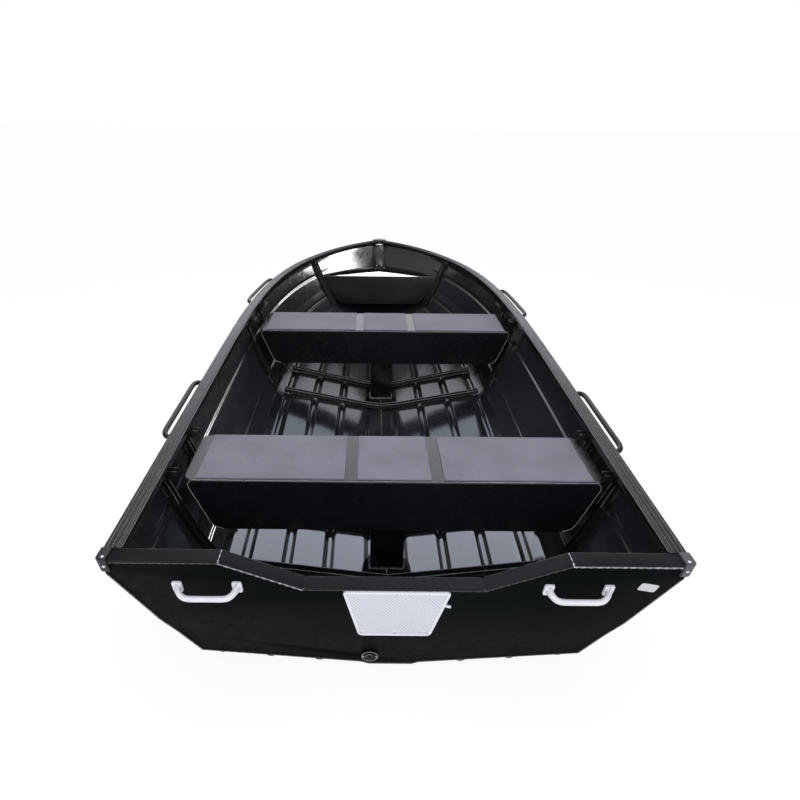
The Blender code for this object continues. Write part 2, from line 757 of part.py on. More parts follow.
# Gunwale end caps: moulded corners that straddle the end of the hull sheet
end_cap_colour = (0.045, 0.048, 0.052)
end_cap_bottom = 0.4465
end_cap_rise = 0.0018
end_cap_aft_wall = 0.0050
end_cap_outer_wall = 0.0075
end_cap_corner = 0.014
end_cap_bevel = 0.0025
end_cap_slot_gap = 0.0005
end_cap_inner = cap_points[0][0] + seam_gap
end_cap_outer = gunwale_line[0, 0] + end_cap_outer_wall
end_cap_top = gunwale_line[0, 2] + gunwale_top_rise + gunwale_rib_height + end_cap_rise
end_cap_aft = -transom_plate_thickness - plate - seam_gap - end_cap_aft_wall
end_cap_fore = gunwale_aft - seam_gap


def end_cap_ring(z, inset):
    """Plan of the moulded corner at a height, as distances across and forward of the transom's inner face."""
    corners = [
        (end_cap_inner, end_cap_fore), (end_cap_inner, end_cap_aft + inset),
        (end_cap_outer - inset, end_cap_aft + inset), (end_cap_outer - inset, end_cap_fore),
    ]
    plan = rounded_polygon(corners, [0.0004, 0.002, end_cap_corner, 0.003])
    return [(x, float(transom_y(z)) + y, z) for x, y in plan]


def raked_prism(name, section, near, far):
    """Solid over a section of half widths and heights, between two distances forward of the transom."""
    rings = [[(x, float(transom_y(z)) + y, z) for x, z in section] for y in (near, far)]
    return add_loft(name, rings)


slot_outer = gunwale_line[0, 0] + end_cap_slot_gap
slot_inner = gunwale_line[0, 0] - 2 * skin - end_cap_slot_gap
slot_top = gunwale_line[0, 2] + end_cap_slot_gap
plate_top = corner_z + end_cap_slot_gap
for side_name, side in (("starboard", 1.0), ("port", -1.0)):
    levels = [
        (end_cap_bottom, end_cap_bevel), (end_cap_bottom + end_cap_bevel, 0.0),
        (end_cap_top - end_cap_bevel, 0.0), (end_cap_top, end_cap_bevel),
    ]
    block = add_loft(
        "gunwale_end_cap_" + side_name, [mirrored(end_cap_ring(z, inset), side) for z, inset in levels],
        colour=end_cap_colour, metallic=0.0, roughness=0.55, smooth_below=30.0,
    )
    room = 0.02
    slot_section = [
        (end_cap_inner - room, end_cap_bottom - room), (slot_outer, end_cap_bottom - room),
        (slot_outer, slot_top), (slot_inner, slot_top), (slot_inner, plate_top),
        (end_cap_inner - room, plate_top),
    ]
    slot = raked_prism(
        "end_cap_slot_" + side_name, mirrored_flat(slot_section, side),
        -transom_plate_thickness - end_cap_slot_gap, end_cap_fore + room,
    )
    cut_out(block, slot, "slot")

# Seats: folded sheet, open below, with turned-in lower edges
def seat_plan(name):
    aft, width, top, aft_half, fore_half, bottom, bottom_half, _ = seat_table[name]
    return aft, aft + width, top, aft_half, fore_half, bottom, bottom_half


def seat_middle(name):
    return seat_table[name][-1]


def seat_half(name, y, z):
    """Half width of the folded sheet at a point of its section."""
    aft, fore, top, aft_half, fore_half, bottom, bottom_half = seat_plan(name)
    share = np.clip((y - aft) / (fore - aft), 0, 1)
    top_half = aft_half + (fore_half - aft_half) * share
    drop = np.clip((top - z) / (top - bottom), 0, 1)
    return top_half + (bottom_half - top_half) * drop


def build_seat(name):
    """The sheet as rows along its section, each row ending at the seat's own outline with rounded corners."""
    aft, fore, top, _, _, bottom, _ = seat_plan(name)
    rows = []
    for i, (run, height, trim) in enumerate(seat_edge):
        z = bottom + height if i < seat_edge_lower else top + height
        rows.append((aft + run, z, trim))
    rows += [(aft + fore - y, z, trim) for y, z, trim in reversed(rows)]
    outer_rows, inner_rows = [], []
    points = np.array([(y, z) for y, z, _ in rows])
    step = np.diff(points, axis=0)
    step /= np.linalg.norm(step, axis=1)[:, None]
    normal = np.stack([step[:, 1], -step[:, 0]], 1)
    for i, (y, z, trim) in enumerate(rows):
        na = normal[max(i - 1, 0)]
        nb = normal[min(i, len(normal) - 1)]
        mitre = na + nb
        mitre /= mitre @ nb
        reach = float(seat_half(name, y, z)) - trim
        xs = seat_middle(name) + np.array([-reach, seat_rim - reach, reach - seat_rim, reach])
        q = points[i] + mitre * plate
        outer_rows.append([(x, y, z) for x in xs])
        inner_rows.append([(x, q[0], q[1]) for x in xs])
    add_sheet("seat_" + name, np.array(outer_rows), np.array(inner_rows), smooth_below=35.0)


for name in seat_table:
    build_seat(name)

# Foam pads
pad_colour = (0.20, 0.20, 0.235)
pad_corner = 0.004
pad_edge = 0.001
for name in seat_table:
    aft, fore, top, _, _, _, _ = seat_plan(name)
    for (low, high), pad_name in zip(pad_edges, pad_names):

        def pad_plan(inset):
            x0, x1 = seat_middle(name) + low + inset, seat_middle(name) + high - inset
            y0, y1 = aft + pad_margin + inset, fore - pad_margin - inset
            return rounded_polygon([(x0, y0), (x1, y0), (x1, y1), (x0, y1)], pad_corner - inset, 4)

        rings = [
            [(x, y, top + height) for x, y in pad_plan(inset)]
            for height, inset in ((seam_gap, 0.0), (pad_thickness - pad_edge, 0.0), (pad_thickness, pad_edge))
        ]
        add_loft("pad_" + name + "_" + pad_name, rings, colour=pad_colour, metallic=0.0, roughness=0.85)


# Ribs and floor frames


def channel_rings(aft_path, fore_path, inward, width, depths, thickness=skin):
    """Rings of a channel whose back lies between two paths and whose flanges stand inward."""
    share = thickness / width
    rings = []
    for a, b, n, d in zip(aft_path, fore_path, inward, depths):
        section = [
            (0, 0), (0, 1), (d, 1), (d, 1 - share),
            (thickness, 1 - share), (thickness, share), (d, share), (d, 0),
        ]
        rings.append([a + (b - a) * across_share + n * depth for depth, across_share in section])
    return rings


def mitre_inward(points, clearance):
    """Path moved inward by the clearance and the inward normals, mitred, in the plane across the boat."""
    flat = points[:, [0, 2]]
    step = np.diff(flat, axis=0)
    step /= np.linalg.norm(step, axis=1)[:, None]
    normal = np.stack([-step[:, 1], step[:, 0]], 1)
    out_points, out_normals = [], []
    for i in range(len(flat)):
        na, nb = normal[max(i - 1, 0)], normal[min(i, len(normal) - 1)]
        mitre = na + nb
        mitre /= np.linalg.norm(mitre)
        mitre /= mitre @ nb
        q = flat[i] + mitre * clearance
        out_points.append((q[0], points[i, 1], q[1]))
        out_normals.append((mitre[0], 0.0, mitre[1]))
    return np.array(out_points), np.array(out_normals)


def between(a, b, share):
    return a + (b - a) * share


def side_path(y, centre_y):
    """Base line of a rib on the inner skin at one distance forward, from the chine to under the gunwale."""
    side_points = section_at(plain_inner, y)[chine_column:]
    chine_point, knuckle, shoulder, top_point = side_points[[0, knuckle_column, -2, -1]]
    head_z = float(sheer_top(centre_y)) - gunwale_top_rise - gunwale_inner_flange - rib_head_below
    head = between(shoulder, top_point, (head_z - shoulder[2]) / (top_point[2] - shoulder[2]))
    return np.array([
        between(chine_point, knuckle, rib_foot_share), knuckle, shoulder,
        between(shoulder, head, rib_head_share), head,
    ])


def floor_path(y):
    """Base line of a floor frame on the inner skin, from chine to chine over the keel."""
    section = section_at(plain_inner, y)
    root = section[2]
    end = between(section[chine_column], root, 0.075)
    keel = section[0].copy()
    keel[0] = 0.0
    flip = np.array([-1.0, 1.0, 1.0])
    return np.array([end * flip, root * flip, keel, root, end])


rib_stations = {}
for name in seat_table:
    aft, fore, _, _, _, _, _ = seat_plan(name)
    rib_stations[name + "_seat_aft"] = aft + rib_inset
    rib_stations[name + "_seat_fore"] = fore - rib_inset
rib_stations["bow"] = bow_rib_y


for station_name, y in rib_stations.items():
    aft_moved, _ = mitre_inward(side_path(y - 0.5 * rib_width, y), rib_clearance)
    fore_moved, _ = mitre_inward(side_path(y + 0.5 * rib_width, y), rib_clearance)
    _, normals = mitre_inward(side_path(y, y), rib_clearance)
    normals[3:] = (-1.0, 0.0, 0.0)
    head = bow_rib_head_depth if station_name == "bow" else rib_head_depth
    depths = [rib_depth, rib_depth, rib_depth, head, head]
    for side_name, side in (("starboard", 1.0), ("port", -1.0)):
        paths = [mirrored(path, side) for path in (aft_moved, fore_moved, normals)]
        rings = channel_rings(*paths, rib_width, depths)
        add_loft("rib_" + station_name + "_" + side_name, rings, smooth_below=15.0)

for station_name, y in frame_table.items():
    aft_moved, _ = mitre_inward(floor_path(y - 0.5 * frame_width), frame_clearance)
    fore_moved, _ = mitre_inward(floor_path(y + 0.5 * frame_width), frame_clearance)
    _, normals = mitre_inward(floor_path(y), frame_clearance)
    rings = channel_rings(aft_moved, fore_moved, normals, frame_width, [frame_height] * len(normals))
    add_loft("floor_frame_" + station_name, rings, smooth_below=15.0)

# Posts under the seats
for name in seat_table:
    aft, _, top, _, _, _, _ = seat_plan(name)
    y0 = aft + post_setback[name]
    y1 = y0 + post_depth
    base = max(float(section_at(plain_inner, y)[0, 2]) for y in (y0, y1))
    post_inner = post_half - plate
    post_outline = [
        (-post_half, y0), (post_half, y0), (post_half, y1), (post_inner, y1),
        (post_inner, y0 + plate), (-post_inner, y0 + plate), (-post_inner, y1), (-post_half, y1),
    ]
    rings = [[(x, y, z) for x, y in post_outline] for z in (base + rib_clearance, top - plate - seam_gap)]
    add_loft("seat_post_" + name, rings, smooth_below=15.0)


# Bow deck folded down into its aft panel
def waterline(z):
    """The hull's inner side cut level at a height: half width and distance forward of each station."""
    rows = plain_inner[:, chine_column:]
    halves = np.array([np.interp(z, row[:, 2], row[:, 0]) for row in rows])
    ys = np.array([np.interp(z, row[:, 2], row[:, 1]) for row in rows])
    return halves, ys


def edge_half(y, z):
    """Half width of a piece whose edge follows the inner side."""
    halves, ys = waterline(z)
    return float(np.interp(y, ys, halves)) - edge_clearance


def where_half_is(half_width, z):
    """Distance forward at which the bow has narrowed to a half width."""
    halves, ys = waterline(z)
    bow = ys > deck_aft
    return float(np.interp(-half_width, -halves[bow], ys[bow]))


deck_fore = where_half_is(deck_nose_half + edge_clearance, deck_height - plate)
deck_stations = waterline(deck_height - plate)[1]
deck_first = deck_aft + 0.024
deck_row_room = 0.005
between_ends = (deck_stations > deck_first + deck_row_room) & (deck_stations < deck_fore - deck_row_room)
deck_ys = np.concatenate([[deck_first], deck_stations[between_ends], [deck_fore]])
panel_top_half = edge_half(deck_aft, deck_height - plate) - panel_top_gap
panel_fold = 0.002
# Notched lower corners of the panel: height above its bottom edge, cut back from the side
panel_notch = [(0.0, 0.034), (0.004, 0.020), (0.012, 0.008), (0.026, 0.0)]
slope = (panel_top_half - panel_bottom_half) / panel_height
# Rows from the panel's bottom to the deck's nose: half width, then outside and inside the distance forward
# and the height
deck_rows = []
for up, cut_back in panel_notch:
    half_width = panel_bottom_half + up * slope - cut_back
    z = panel_bottom + up
    deck_rows.append((half_width, deck_aft, z, deck_aft + plate, z))
deck_rows.append((panel_top_half, deck_aft, deck_height - panel_fold, deck_aft + plate, deck_height - plate))
inner_fold = deck_aft + plate + 0.5 * panel_fold
deck_rows.append((panel_top_half, deck_aft + panel_fold, deck_height, inner_fold, deck_height - plate))
for y in deck_ys:
    deck_rows.append((edge_half(y, deck_height - plate), y, deck_height, y, deck_height - plate))
deck_outer = np.array([[(x, y, z) for x in (-h, 0.0, h)] for h, y, z, _, _ in deck_rows])
deck_inner = np.array([[(x, y, z) for x in (-h, 0.0, h)] for h, _, _, y, z in deck_rows])
add_sheet("bow_deck", deck_outer, deck_inner, roughness=0.12, smooth_below=20.0)

# Side handles: round bar bows on the outer flange of the gunwales
side_handle_radius = 0.0072
side_handle_reach = 0.029
side_handle_length = 0.450
side_handle_drop = 0.010
side_handle_foot_stretch = 1.5
# Each handle: its place, its side, its aft foot's distance forward
side_handle_starts = [
    ("aft", "starboard", 0.436), ("aft", "port", 0.507),
    ("fore", "starboard", 1.845), ("fore", "port", 2.036),
]
# Bend of the bar: share of the length, share of the reach, rise
side_handle_bend = [
    (0.0, 0.0, 0.0), (0.0, 0.30, 0.001), (0.010, 0.62, 0.003), (0.045, 0.89, 0.005), (0.11, 1.0, 0.006),
    (0.5, 1.0, 0.006),
    (0.89, 1.0, 0.006), (0.955, 0.89, 0.005), (0.990, 0.62, 0.003), (1.0, 0.30, 0.001), (1.0, 0.0, 0.0),
]


def gunwale_point(y):
    """Outer face of the gunwale at a distance forward, with its outward and forward directions."""
    line = gunwale_line
    x = np.interp(y, line[:, 1], line[:, 0])
    z = np.interp(y, line[:, 1], line[:, 2])
    x2 = np.interp(y + 0.01, line[:, 1], line[:, 0])
    forward = np.array([x2 - x, 0.01, 0.0])
    forward /= np.linalg.norm(forward)
    outward = np.array([forward[1], -forward[0], 0.0])
    return np.array([x, y, z]), outward, forward


foot_out = gunwale_width - gunwale_sheet_in + rib_clearance
for place, side_name, start in side_handle_starts:
    side = 1.0 if side_name == "starboard" else -1.0
    path = []
    for share, out_share, rise in side_handle_bend:
        base, outward, _ = gunwale_point(start + side_handle_length * share)
        out = foot_out + out_share * side_handle_reach
        path.append(base + outward * out + np.array([0.0, 0.0, rise - side_handle_drop]))
    path = np.array(path)
    tangents = np.gradient(path, axis=0)
    tangents[:2] = gunwale_point(start)[1]
    tangents[-2:] = -gunwale_point(start + side_handle_length)[1]
    rings = []
    for i, (p, t) in enumerate(zip(path, tangents)):
        t = t / np.linalg.norm(t)
        up = np.array([0.0, 0.0, 1.0]) - t * t[2]
        up = up / np.linalg.norm(up)
        stretch = side_handle_foot_stretch if i in (0, len(path) - 1) else 1.0
        ring = ellipse(p, up, np.cross(t, up), side_handle_radius, side_handle_radius * stretch)
        rings.append(mirrored(ring, side))
    add_loft("side_handle_" + place + "_" + side_name, rings, smooth_below=40.0)

# Bow cap over the meeting of the gunwales
apex = gunwale_line[-1]
apex_top = apex[2] + gunwale_top_rise + gunwale_lip_rise + 2 * seam_gap
# Starboard half of the cap's outline: half width, distance forward of the apex
bow_cap_half = [(0.046, -0.032), (0.052, -0.006), (0.012, 0.036)]
bow_cap_corners = bow_cap_half + [(-x, y) for x, y in reversed(bow_cap_half)]
bow_cap_outline = rounded_polygon(bow_cap_corners, 0.005, 4) + np.array([0.0, apex[1]])
rings = [[(x, y, z) for x, y in bow_cap_outline] for z in (apex_top, apex_top + skin)]
add_loft("bow_cap", rings, colour=(0.03, 0.034, 0.036), smooth_below=20.0)

# Inner stem: a bent sheet behind the apex, from the deck to the gunwale
inner_stem_face = 0.004
inner_stem_flange = 0.015
inner_stem_thickness = 0.0039
inner_stem_foot = deck_height + 0.004
inner_stem_head = apex[2] - gunwale_inner_flange - 0.010
stem_levels = []
for z in (inner_stem_foot, between(inner_stem_foot, inner_stem_head, 0.5), inner_stem_head):
    a = float(waterline(z)[0][-1]) + inner_stem_face
    b = a + inner_stem_flange
    near, far = (where_half_is(reach, z) - 2.0 * seam_gap for reach in (a, b))
    stem_levels.append([
        (-b, far, z), (-a, near, z), (a, near, z), (b, far, z),
        (b, far - inner_stem_thickness, z), (a, near - inner_stem_thickness, z),
        (-a, near - inner_stem_thickness, z), (-b, far - inner_stem_thickness, z),
    ])
add_loft("inner_stem", stem_levels, smooth_below=15.0)

# Outer stem bar: carried down the bow from the gunwale along the forefoot to the keel
stem_half, stem_thickness = 0.016, 0.004
stem_end_y = 2.45
stem_lift = 0.0014
stem_edge_droop = 0.004
stem_ridge_half = 0.0045
upper = pressed_outer[-1, chine_column:][::-1][1:]
lower = pressed_outer[:, 0][::-1]
lower = lower[lower[:, 1] > stem_end_y]
stem_path = np.concatenate([upper, lower])
stem_path[:, 0] = 0.0
hull_flat = np.concatenate([np.zeros(len(upper)), pressed_outer[:, 1, 0][::-1][: len(lower)]])
tangents = np.gradient(stem_path, axis=0)
tangents /= np.linalg.norm(tangents, axis=1)[:, None]
stem_rings = []
for p, t, flat in zip(stem_path, tangents, hull_flat):
    ahead = np.array([0.0, -t[2], t[1]])
    droop = stem_edge_droop * max(0.0, 1 - flat / stem_half)
    ridge = stem_lift + 0.8 * droop
    edge = ridge - droop
    section = [
        (-stem_half, edge), (-stem_ridge_half, ridge), (stem_ridge_half, ridge), (stem_half, edge),
        (stem_half, edge + stem_thickness), (stem_ridge_half, ridge + stem_thickness),
        (-stem_ridge_half, ridge + stem_thickness), (-stem_half, edge + stem_thickness),
    ]
    stem_rings.append([p + np.array([x, 0.0, 0.0]) + ahead * out for x, out in section])
add_loft("stem_bar", stem_rings, smooth_below=25.0)

# The origin goes to the middle of the length and beam, at the lowest point
bpy.context.view_layer.update()
low = np.array([np.inf] * 3)
high = -low
for obj in bpy.data.objects:
    if obj.type == "MESH" and not obj.hide_render:
        co = np.array([v.co for v in obj.data.vertices])
        low, high = np.minimum(low, co.min(0)), np.maximum(high, co.max(0))
shift = np.array([-0.5 * (low[0] + high[0]), -0.5 * (low[1] + high[1]), -low[2]])
for obj in bpy.data.objects:
    if obj.type == "MESH":
        for vert in obj.data.vertices:
            vert.co += Vector(shift)
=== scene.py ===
# Looks of the open aluminium boat: pressed sheets, ribbed gunwales, seats, foam, castings, welds and rivets.
# Metres. Bow towards +Y, starboard +X, up +Z, ground at z = 0.

import bpy
import bmesh
import numpy as np
from mathutils import Matrix, Vector


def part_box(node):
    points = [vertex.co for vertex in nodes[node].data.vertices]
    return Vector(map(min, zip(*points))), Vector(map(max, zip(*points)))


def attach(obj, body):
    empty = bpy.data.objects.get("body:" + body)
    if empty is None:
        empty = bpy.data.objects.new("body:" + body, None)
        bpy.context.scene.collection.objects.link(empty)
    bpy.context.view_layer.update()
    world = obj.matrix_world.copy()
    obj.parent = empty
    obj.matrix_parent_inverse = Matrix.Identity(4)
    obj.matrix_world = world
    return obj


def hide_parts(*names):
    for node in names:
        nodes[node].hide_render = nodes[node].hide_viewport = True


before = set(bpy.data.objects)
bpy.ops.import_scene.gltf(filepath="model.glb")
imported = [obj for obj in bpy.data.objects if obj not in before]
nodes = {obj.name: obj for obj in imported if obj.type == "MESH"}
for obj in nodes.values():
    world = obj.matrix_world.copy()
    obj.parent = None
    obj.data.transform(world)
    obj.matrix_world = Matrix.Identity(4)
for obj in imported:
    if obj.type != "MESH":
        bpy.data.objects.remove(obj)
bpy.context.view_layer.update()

# Driving dimensions of the boat, measured forward from the inner face of the transom
skin = 0.0025
plate = 0.003
transom_thickness = 0.004
seam_gap = 0.0003
transom_rake = np.radians(15.5)
transom_lower_rake = np.radians(12.0)
crease_height = 0.155
corner_drop = 0.0295

# Gunwale line: distance forward, half beam, height of its top
sheer_table = [
    (-0.136, 0.741, 0.4935), (0.50, 0.742, 0.508), (1.10, 0.743, 0.521), (1.70, 0.737, 0.537),
    (2.10, 0.716, 0.548), (2.40, 0.678, 0.559), (2.65, 0.621, 0.571), (2.87, 0.538, 0.584),
    (3.03, 0.443, 0.596), (3.17, 0.333, 0.608), (3.29, 0.205, 0.619), (3.405, 0.034, 0.630),
]
# Chine: distance forward, half beam, height
chine_table = [
    (-0.03, 0.556, 0.067), (0.50, 0.566, 0.078), (1.10, 0.575, 0.092), (1.70, 0.576, 0.105),
    (2.10, 0.563, 0.119), (2.40, 0.533, 0.140), (2.65, 0.480, 0.170), (2.85, 0.405, 0.207),
    (3.00, 0.318, 0.246), (3.13, 0.213, 0.290), (3.24, 0.098, 0.334), (3.31, 0.014, 0.366),
]
# Keel and stem: distance forward, height
keel_table = [
    (-0.01, 0.0), (0.60, 0.0), (1.20, 0.0), (1.80, 0.0), (2.10, 0.002), (2.40, 0.014),
    (2.65, 0.040), (2.85, 0.078), (3.00, 0.126), (3.12, 0.187), (3.22, 0.264), (3.295, 0.352),
]
keel_flat_half, keel_wall_run, keel_wall_rise = 0.065, 0.020, 0.010
side_bulge, side_bulge_at = 0.0145, 0.38
side_shoulder, side_shoulder_in = 0.86, 0.002
# Pressings: centre as a share of the width, half width at the foot, half width at the floor, depth
strake_table = [(0.27, 0.017, 0.008, 0.012), (0.575, 0.017, 0.008, 0.012), (0.875, 0.017, 0.008, 0.010)]
rail_table = [(0.235, 0.013, 0.006, 0.005), (0.665, 0.013, 0.006, 0.005)]
pressing_fade = (2.75, 3.08)
bottom_reference, side_reference = 0.485, 0.46
full_chine_half, apex_half = 0.50, 0.012
sheet_bend = 0.0080

gunwale_width, gunwale_sheet_in, gunwale_wall = 0.050, 0.046, 0.003
gunwale_top_rise, gunwale_roof_gap, gunwale_edge = 0.0055, 0.0023, 0.002
gunwale_lip_rise, gunwale_lip_width = 0.002, 0.003
gunwale_groove_end, gunwale_groove_depth = 0.008, 0.0015
gunwale_rib_width, gunwale_rib_height = 0.005, 0.0016
gunwale_rib_places = (0.016, 0.028, 0.040)
gunwale_outer_flange, gunwale_inner_flange, gunwale_leg = 0.026, 0.016, 0.012

cap_points = [(0.7165, 0.511), (0.440, 0.511), (0.235, 0.397)]
cap_depth, cap_flange = 0.045, 0.012

# Seats: aft face, width, height, half width at the aft and the fore edge of the top, height of the bottom
# edge, half width there, distance of the seat's middle to starboard
seat_table = {
    "aft": (0.302, 0.305, 0.4500, 0.664, 0.670, 0.262, 0.584, 0.013),
    "fore": (1.790, 0.315, 0.4560, 0.664, 0.652, 0.272, 0.588, 0.015),
}
seat_rim = 0.004
# Edge of a seat's end: distance in from the face, height above the bottom edge or the top, cut back in width
seat_lower_edge = [
    (0.018, 0.0, 0.030), (0.001, 0.0, 0.030), (0.0, 0.001, 0.028), (0.0, 0.012, 0.006), (0.0, 0.030, 0.0),
]
seat_upper_edge = [
    (0.0, -0.030, 0.0), (0.0, -0.014, 0.004), (0.0, -0.006, 0.016), (0.0018, -0.0018, 0.020),
    (0.006, 0.0, 0.016), (0.012, 0.0, 0.008), (0.022, 0.0, 0.002), (0.034, 0.0, 0.0),
]
pad_edges = {"starboard": (0.158, 0.628), "middle": (-0.117, 0.117), "port": (-0.628, -0.158)}
pad_margin, pad_thickness, pad_corner = 0.006, 0.006, 0.004
pad_roll, pad_rise, pad_hollow = 0.0022, 0.0008, 0.00018
# Distances from a pad's edge at which its grid has lines, and the spacing of the rest
pad_lines = np.array([0.0, 0.0002, 0.0006, 0.0012, 0.002, 0.003, 0.004, 0.007, 0.012, 0.020])
pad_field_from, pad_field_step = 0.032, 0.016

deck_height, deck_aft, panel_height = 0.457, 3.000, 0.195
panel_foot_half, panel_spread, panel_rivet_inset = 0.286, 0.030, 0.012
panel_rivet_shares = (0.12, 0.38, 0.64, 0.88)

# The frame's shift from these dimensions, read from the aft seat's solid
seat_low, seat_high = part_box("seat_aft")
boat_shift = np.array([
    0.5 * (seat_low[0] + seat_high[0]) - seat_table["aft"][7], seat_low[1] - seat_table["aft"][0], 0.0
])


# Shapes
def curve(table, column):
    """Smooth line through a table: on each span a cubic in t between the two heights, whose slopes at the
    joints are the harmonic mean of the spans' own slopes, so that it never overshoots."""
    data = np.array(table, float)
    x, y = data[:, 0], data[:, column]
    h = np.diff(x)
    d = np.diff(y) / h
    w1, w2 = 2 * h[1:] + h[:-1], h[1:] + 2 * h[:-1]
    same = d[:-1] * d[1:] > 0
    left, right = np.where(same, d[:-1], 1.0), np.where(same, d[1:], 1.0)
    inner = np.where(same, (w1 + w2) / (w1 / left + w2 / right), 0.0)
    m = np.concatenate([[d[0]], inner, [d[-1]]])

    def value(q):
        i = np.clip(np.searchsorted(x, q) - 1, 0, len(h) - 1)
        t = (q - x[i]) / h[i]
        return (
            (1 + 2 * t) * (1 - t) ** 2 * y[i] + t * (1 - t) ** 2 * h[i] * m[i]
            + t * t * (3 - 2 * t) * y[i + 1] + t * t * (t - 1) * h[i] * m[i + 1]
        )

    return value


def transom_y(z):
    """Inner face of the transom: two straight rakes that meet at the crease."""
    upper = -np.asarray(z, float) * np.tan(transom_rake)
    at_crease = -crease_height * np.tan(transom_rake)
    return np.where(z > crease_height, upper, at_crease + (crease_height - z) * np.tan(transom_lower_rake))


def on_transom(x, s, out=0.0):
    """Points x across and s up along the raked face, lifted off its outer side by a distance along its
    normal."""
    x, s, out = np.broadcast_arrays(np.asarray(x, float), s, out)
    z = s * np.cos(transom_rake)
    base = np.stack([x, transom_y(z) - transom_thickness, z], -1)
    return base + out[..., None] * transom_out


transom_out = np.array([0.0, -np.cos(transom_rake), -np.sin(transom_rake)])
transom_up = np.array([0.0, -np.sin(transom_rake), np.cos(transom_rake)])
across = np.array([1.0, 0.0, 0.0])
upright = np.array([0.0, 0.0, 1.0])
forward = np.array([0.0, 1.0, 0.0])


def unit(vectors):
    return vectors / np.maximum(np.linalg.norm(vectors, axis=-1, keepdims=True), 1e-12)


def mitres(sides):
    """Mitre at each point of a line from the sideways directions of its legs: their sum, as long as both
    need."""
    before, after = np.concatenate([sides[:1], sides]), np.concatenate([sides, sides[-1:]])
    return (before + after) / ((before + after) * after).sum(1)[:, None]


def soften(points, cut, steps=3, closed=False):
    """Polyline with bent corners: corner P becomes the curve (1-t)^2 A + 2t(1-t) P + t^2 B, with A and B
    on its two legs at the cut's distance from P, or at 0.45 of a shorter leg. The points run along the
    last axis but one."""
    points = np.asarray(points, float)

    def towards(other):
        leg = other - points
        length = np.linalg.norm(leg, axis=-1, keepdims=True)
        return points + leg * np.minimum(cut, 0.45 * length) / np.maximum(length, 1e-9)

    a = towards(np.roll(points, 1, axis=-2))[..., None, :]
    b = towards(np.roll(points, -1, axis=-2))[..., None, :]
    t = np.linspace(0.0, 1.0, steps + 1)[:, None]
    bent = (1 - t) ** 2 * a + 2 * t * (1 - t) * points[..., None, :] + t * t * b
    bent = bent.reshape(*points.shape[:-2], -1, points.shape[-1])
    if closed:
        return bent
    inner = bent[..., steps + 1 : -(steps + 1), :]
    return np.concatenate([points[..., :1, :], inner, points[..., -1:, :]], axis=-2)


def oval(count, squareness=1.0):
    """Cosines and sines of even angles, each raised to a power with its sign kept."""
    angle = np.arange(count) * 2 * np.pi / count
    return [np.sign(part) * np.abs(part) ** squareness for part in (np.cos(angle), np.sin(angle))]


def rounded_plan(u, v, half_u, half_v, radius):
    """Grid on a rectangle about its middle, with the corner squares drawn to quarter discs. Also says
    which points lie in those squares, and how far into them along both axes."""
    a = np.clip((np.abs(u) - half_u + radius) / radius, 0.0, 1.0)
    b = np.clip((np.abs(v) - half_v + radius) / radius, 0.0, 1.0)
    corner = (a > 0) & (b > 0)
    x = np.where(corner, np.sign(u) * (half_u - radius * (1 - a * np.sqrt(1 - b * b / 2))), u)
    y = np.where(corner, np.sign(v) * (half_v - radius * (1 - b * np.sqrt(1 - a * a / 2))), v)
    return x, y, corner, a, b


def quads(rows, cols, around=False, start=0):
    """Four-sided faces between neighbours of a grid, whose columns close on themselves when around is
    set."""
    i = np.arange(rows - 1)[:, None]
    j = np.arange(cols if around else cols - 1)[None, :]
    k = (j + 1) % cols
    corners = np.stack([i * cols + j, (i + 1) * cols + j, (i + 1) * cols + k, i * cols + k], -1)
    return corners.reshape(-1, 4) + start


def tube(rings):
    """Shell through rings of points, with a face over the first and the last ring."""
    rows, cols = rings.shape[:2]
    ends = np.arange(rows * cols).reshape(rows, cols)[[0, -1]]
    return rings.reshape(-1, 3), [quads(rows, cols, around=True), ends]


def sheet(outer, inner):
    """Shell of a sheet between two grids of the same size, closed along its four edges."""
    rows, cols = outer.shape[:2]
    half = rows * cols
    at = np.arange(half).reshape(rows, cols)
    rim = np.concatenate([at[0], at[1:, -1], at[-1, -2::-1], at[-2:0:-1, 0]])
    after = np.roll(rim, -1)
    edge = np.stack([rim, after, after + half, rim + half], -1)
    points = np.concatenate([outer.reshape(-1, 3), inner.reshape(-1, 3)])
    return points, [quads(rows, cols), quads(rows, cols, start=half), edge]


def joined(shells):
    """Several shells as one: points in a row, and each shell's faces counted on from the points before
    it."""
    starts = np.cumsum([0] + [len(points) for points, _ in shells])
    faces = [group + start for (_, groups), start in zip(shells, starts) for group in groups]
    return np.concatenate([points for points, _ in shells]), faces


def add_piece(name, shell, look, replaced=(), sharp=32.0, painted_light_share=None):
    """Object from a shell, at the frame's shift, faces outward, smooth up to the sharp angle; the last
    argument, a number for each point, is painted light that the look reads: 1 where the colour stands lit, 0
    where it is painted shade."""
    points, groups = shell
    mesh = bpy.data.meshes.new(name)
    faces = [face for group in groups for face in group.tolist()]
    mesh.from_pydata((points + boat_shift).tolist(), [], faces)
    if painted_light_share is not None:
        mesh.attributes.new("painted_light_share", "FLOAT", "POINT").data.foreach_set("value", painted_light_share.astype(np.float32))
    work = bmesh.new()
    work.from_mesh(mesh)
    bmesh.ops.remove_doubles(work, verts=work.verts, dist=2e-6)
    bmesh.ops.recalc_face_normals(work, faces=work.faces)
    work.to_mesh(mesh)
    work.free()
    mesh.shade_smooth()
    mesh.set_sharp_from_angle(angle=np.radians(sharp))
    mesh.materials.append(look)
    obj = bpy.data.objects.new(name, mesh)
    bpy.context.scene.collection.objects.link(obj)
    if replaced:
        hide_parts(*replaced)
    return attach(obj, "root")


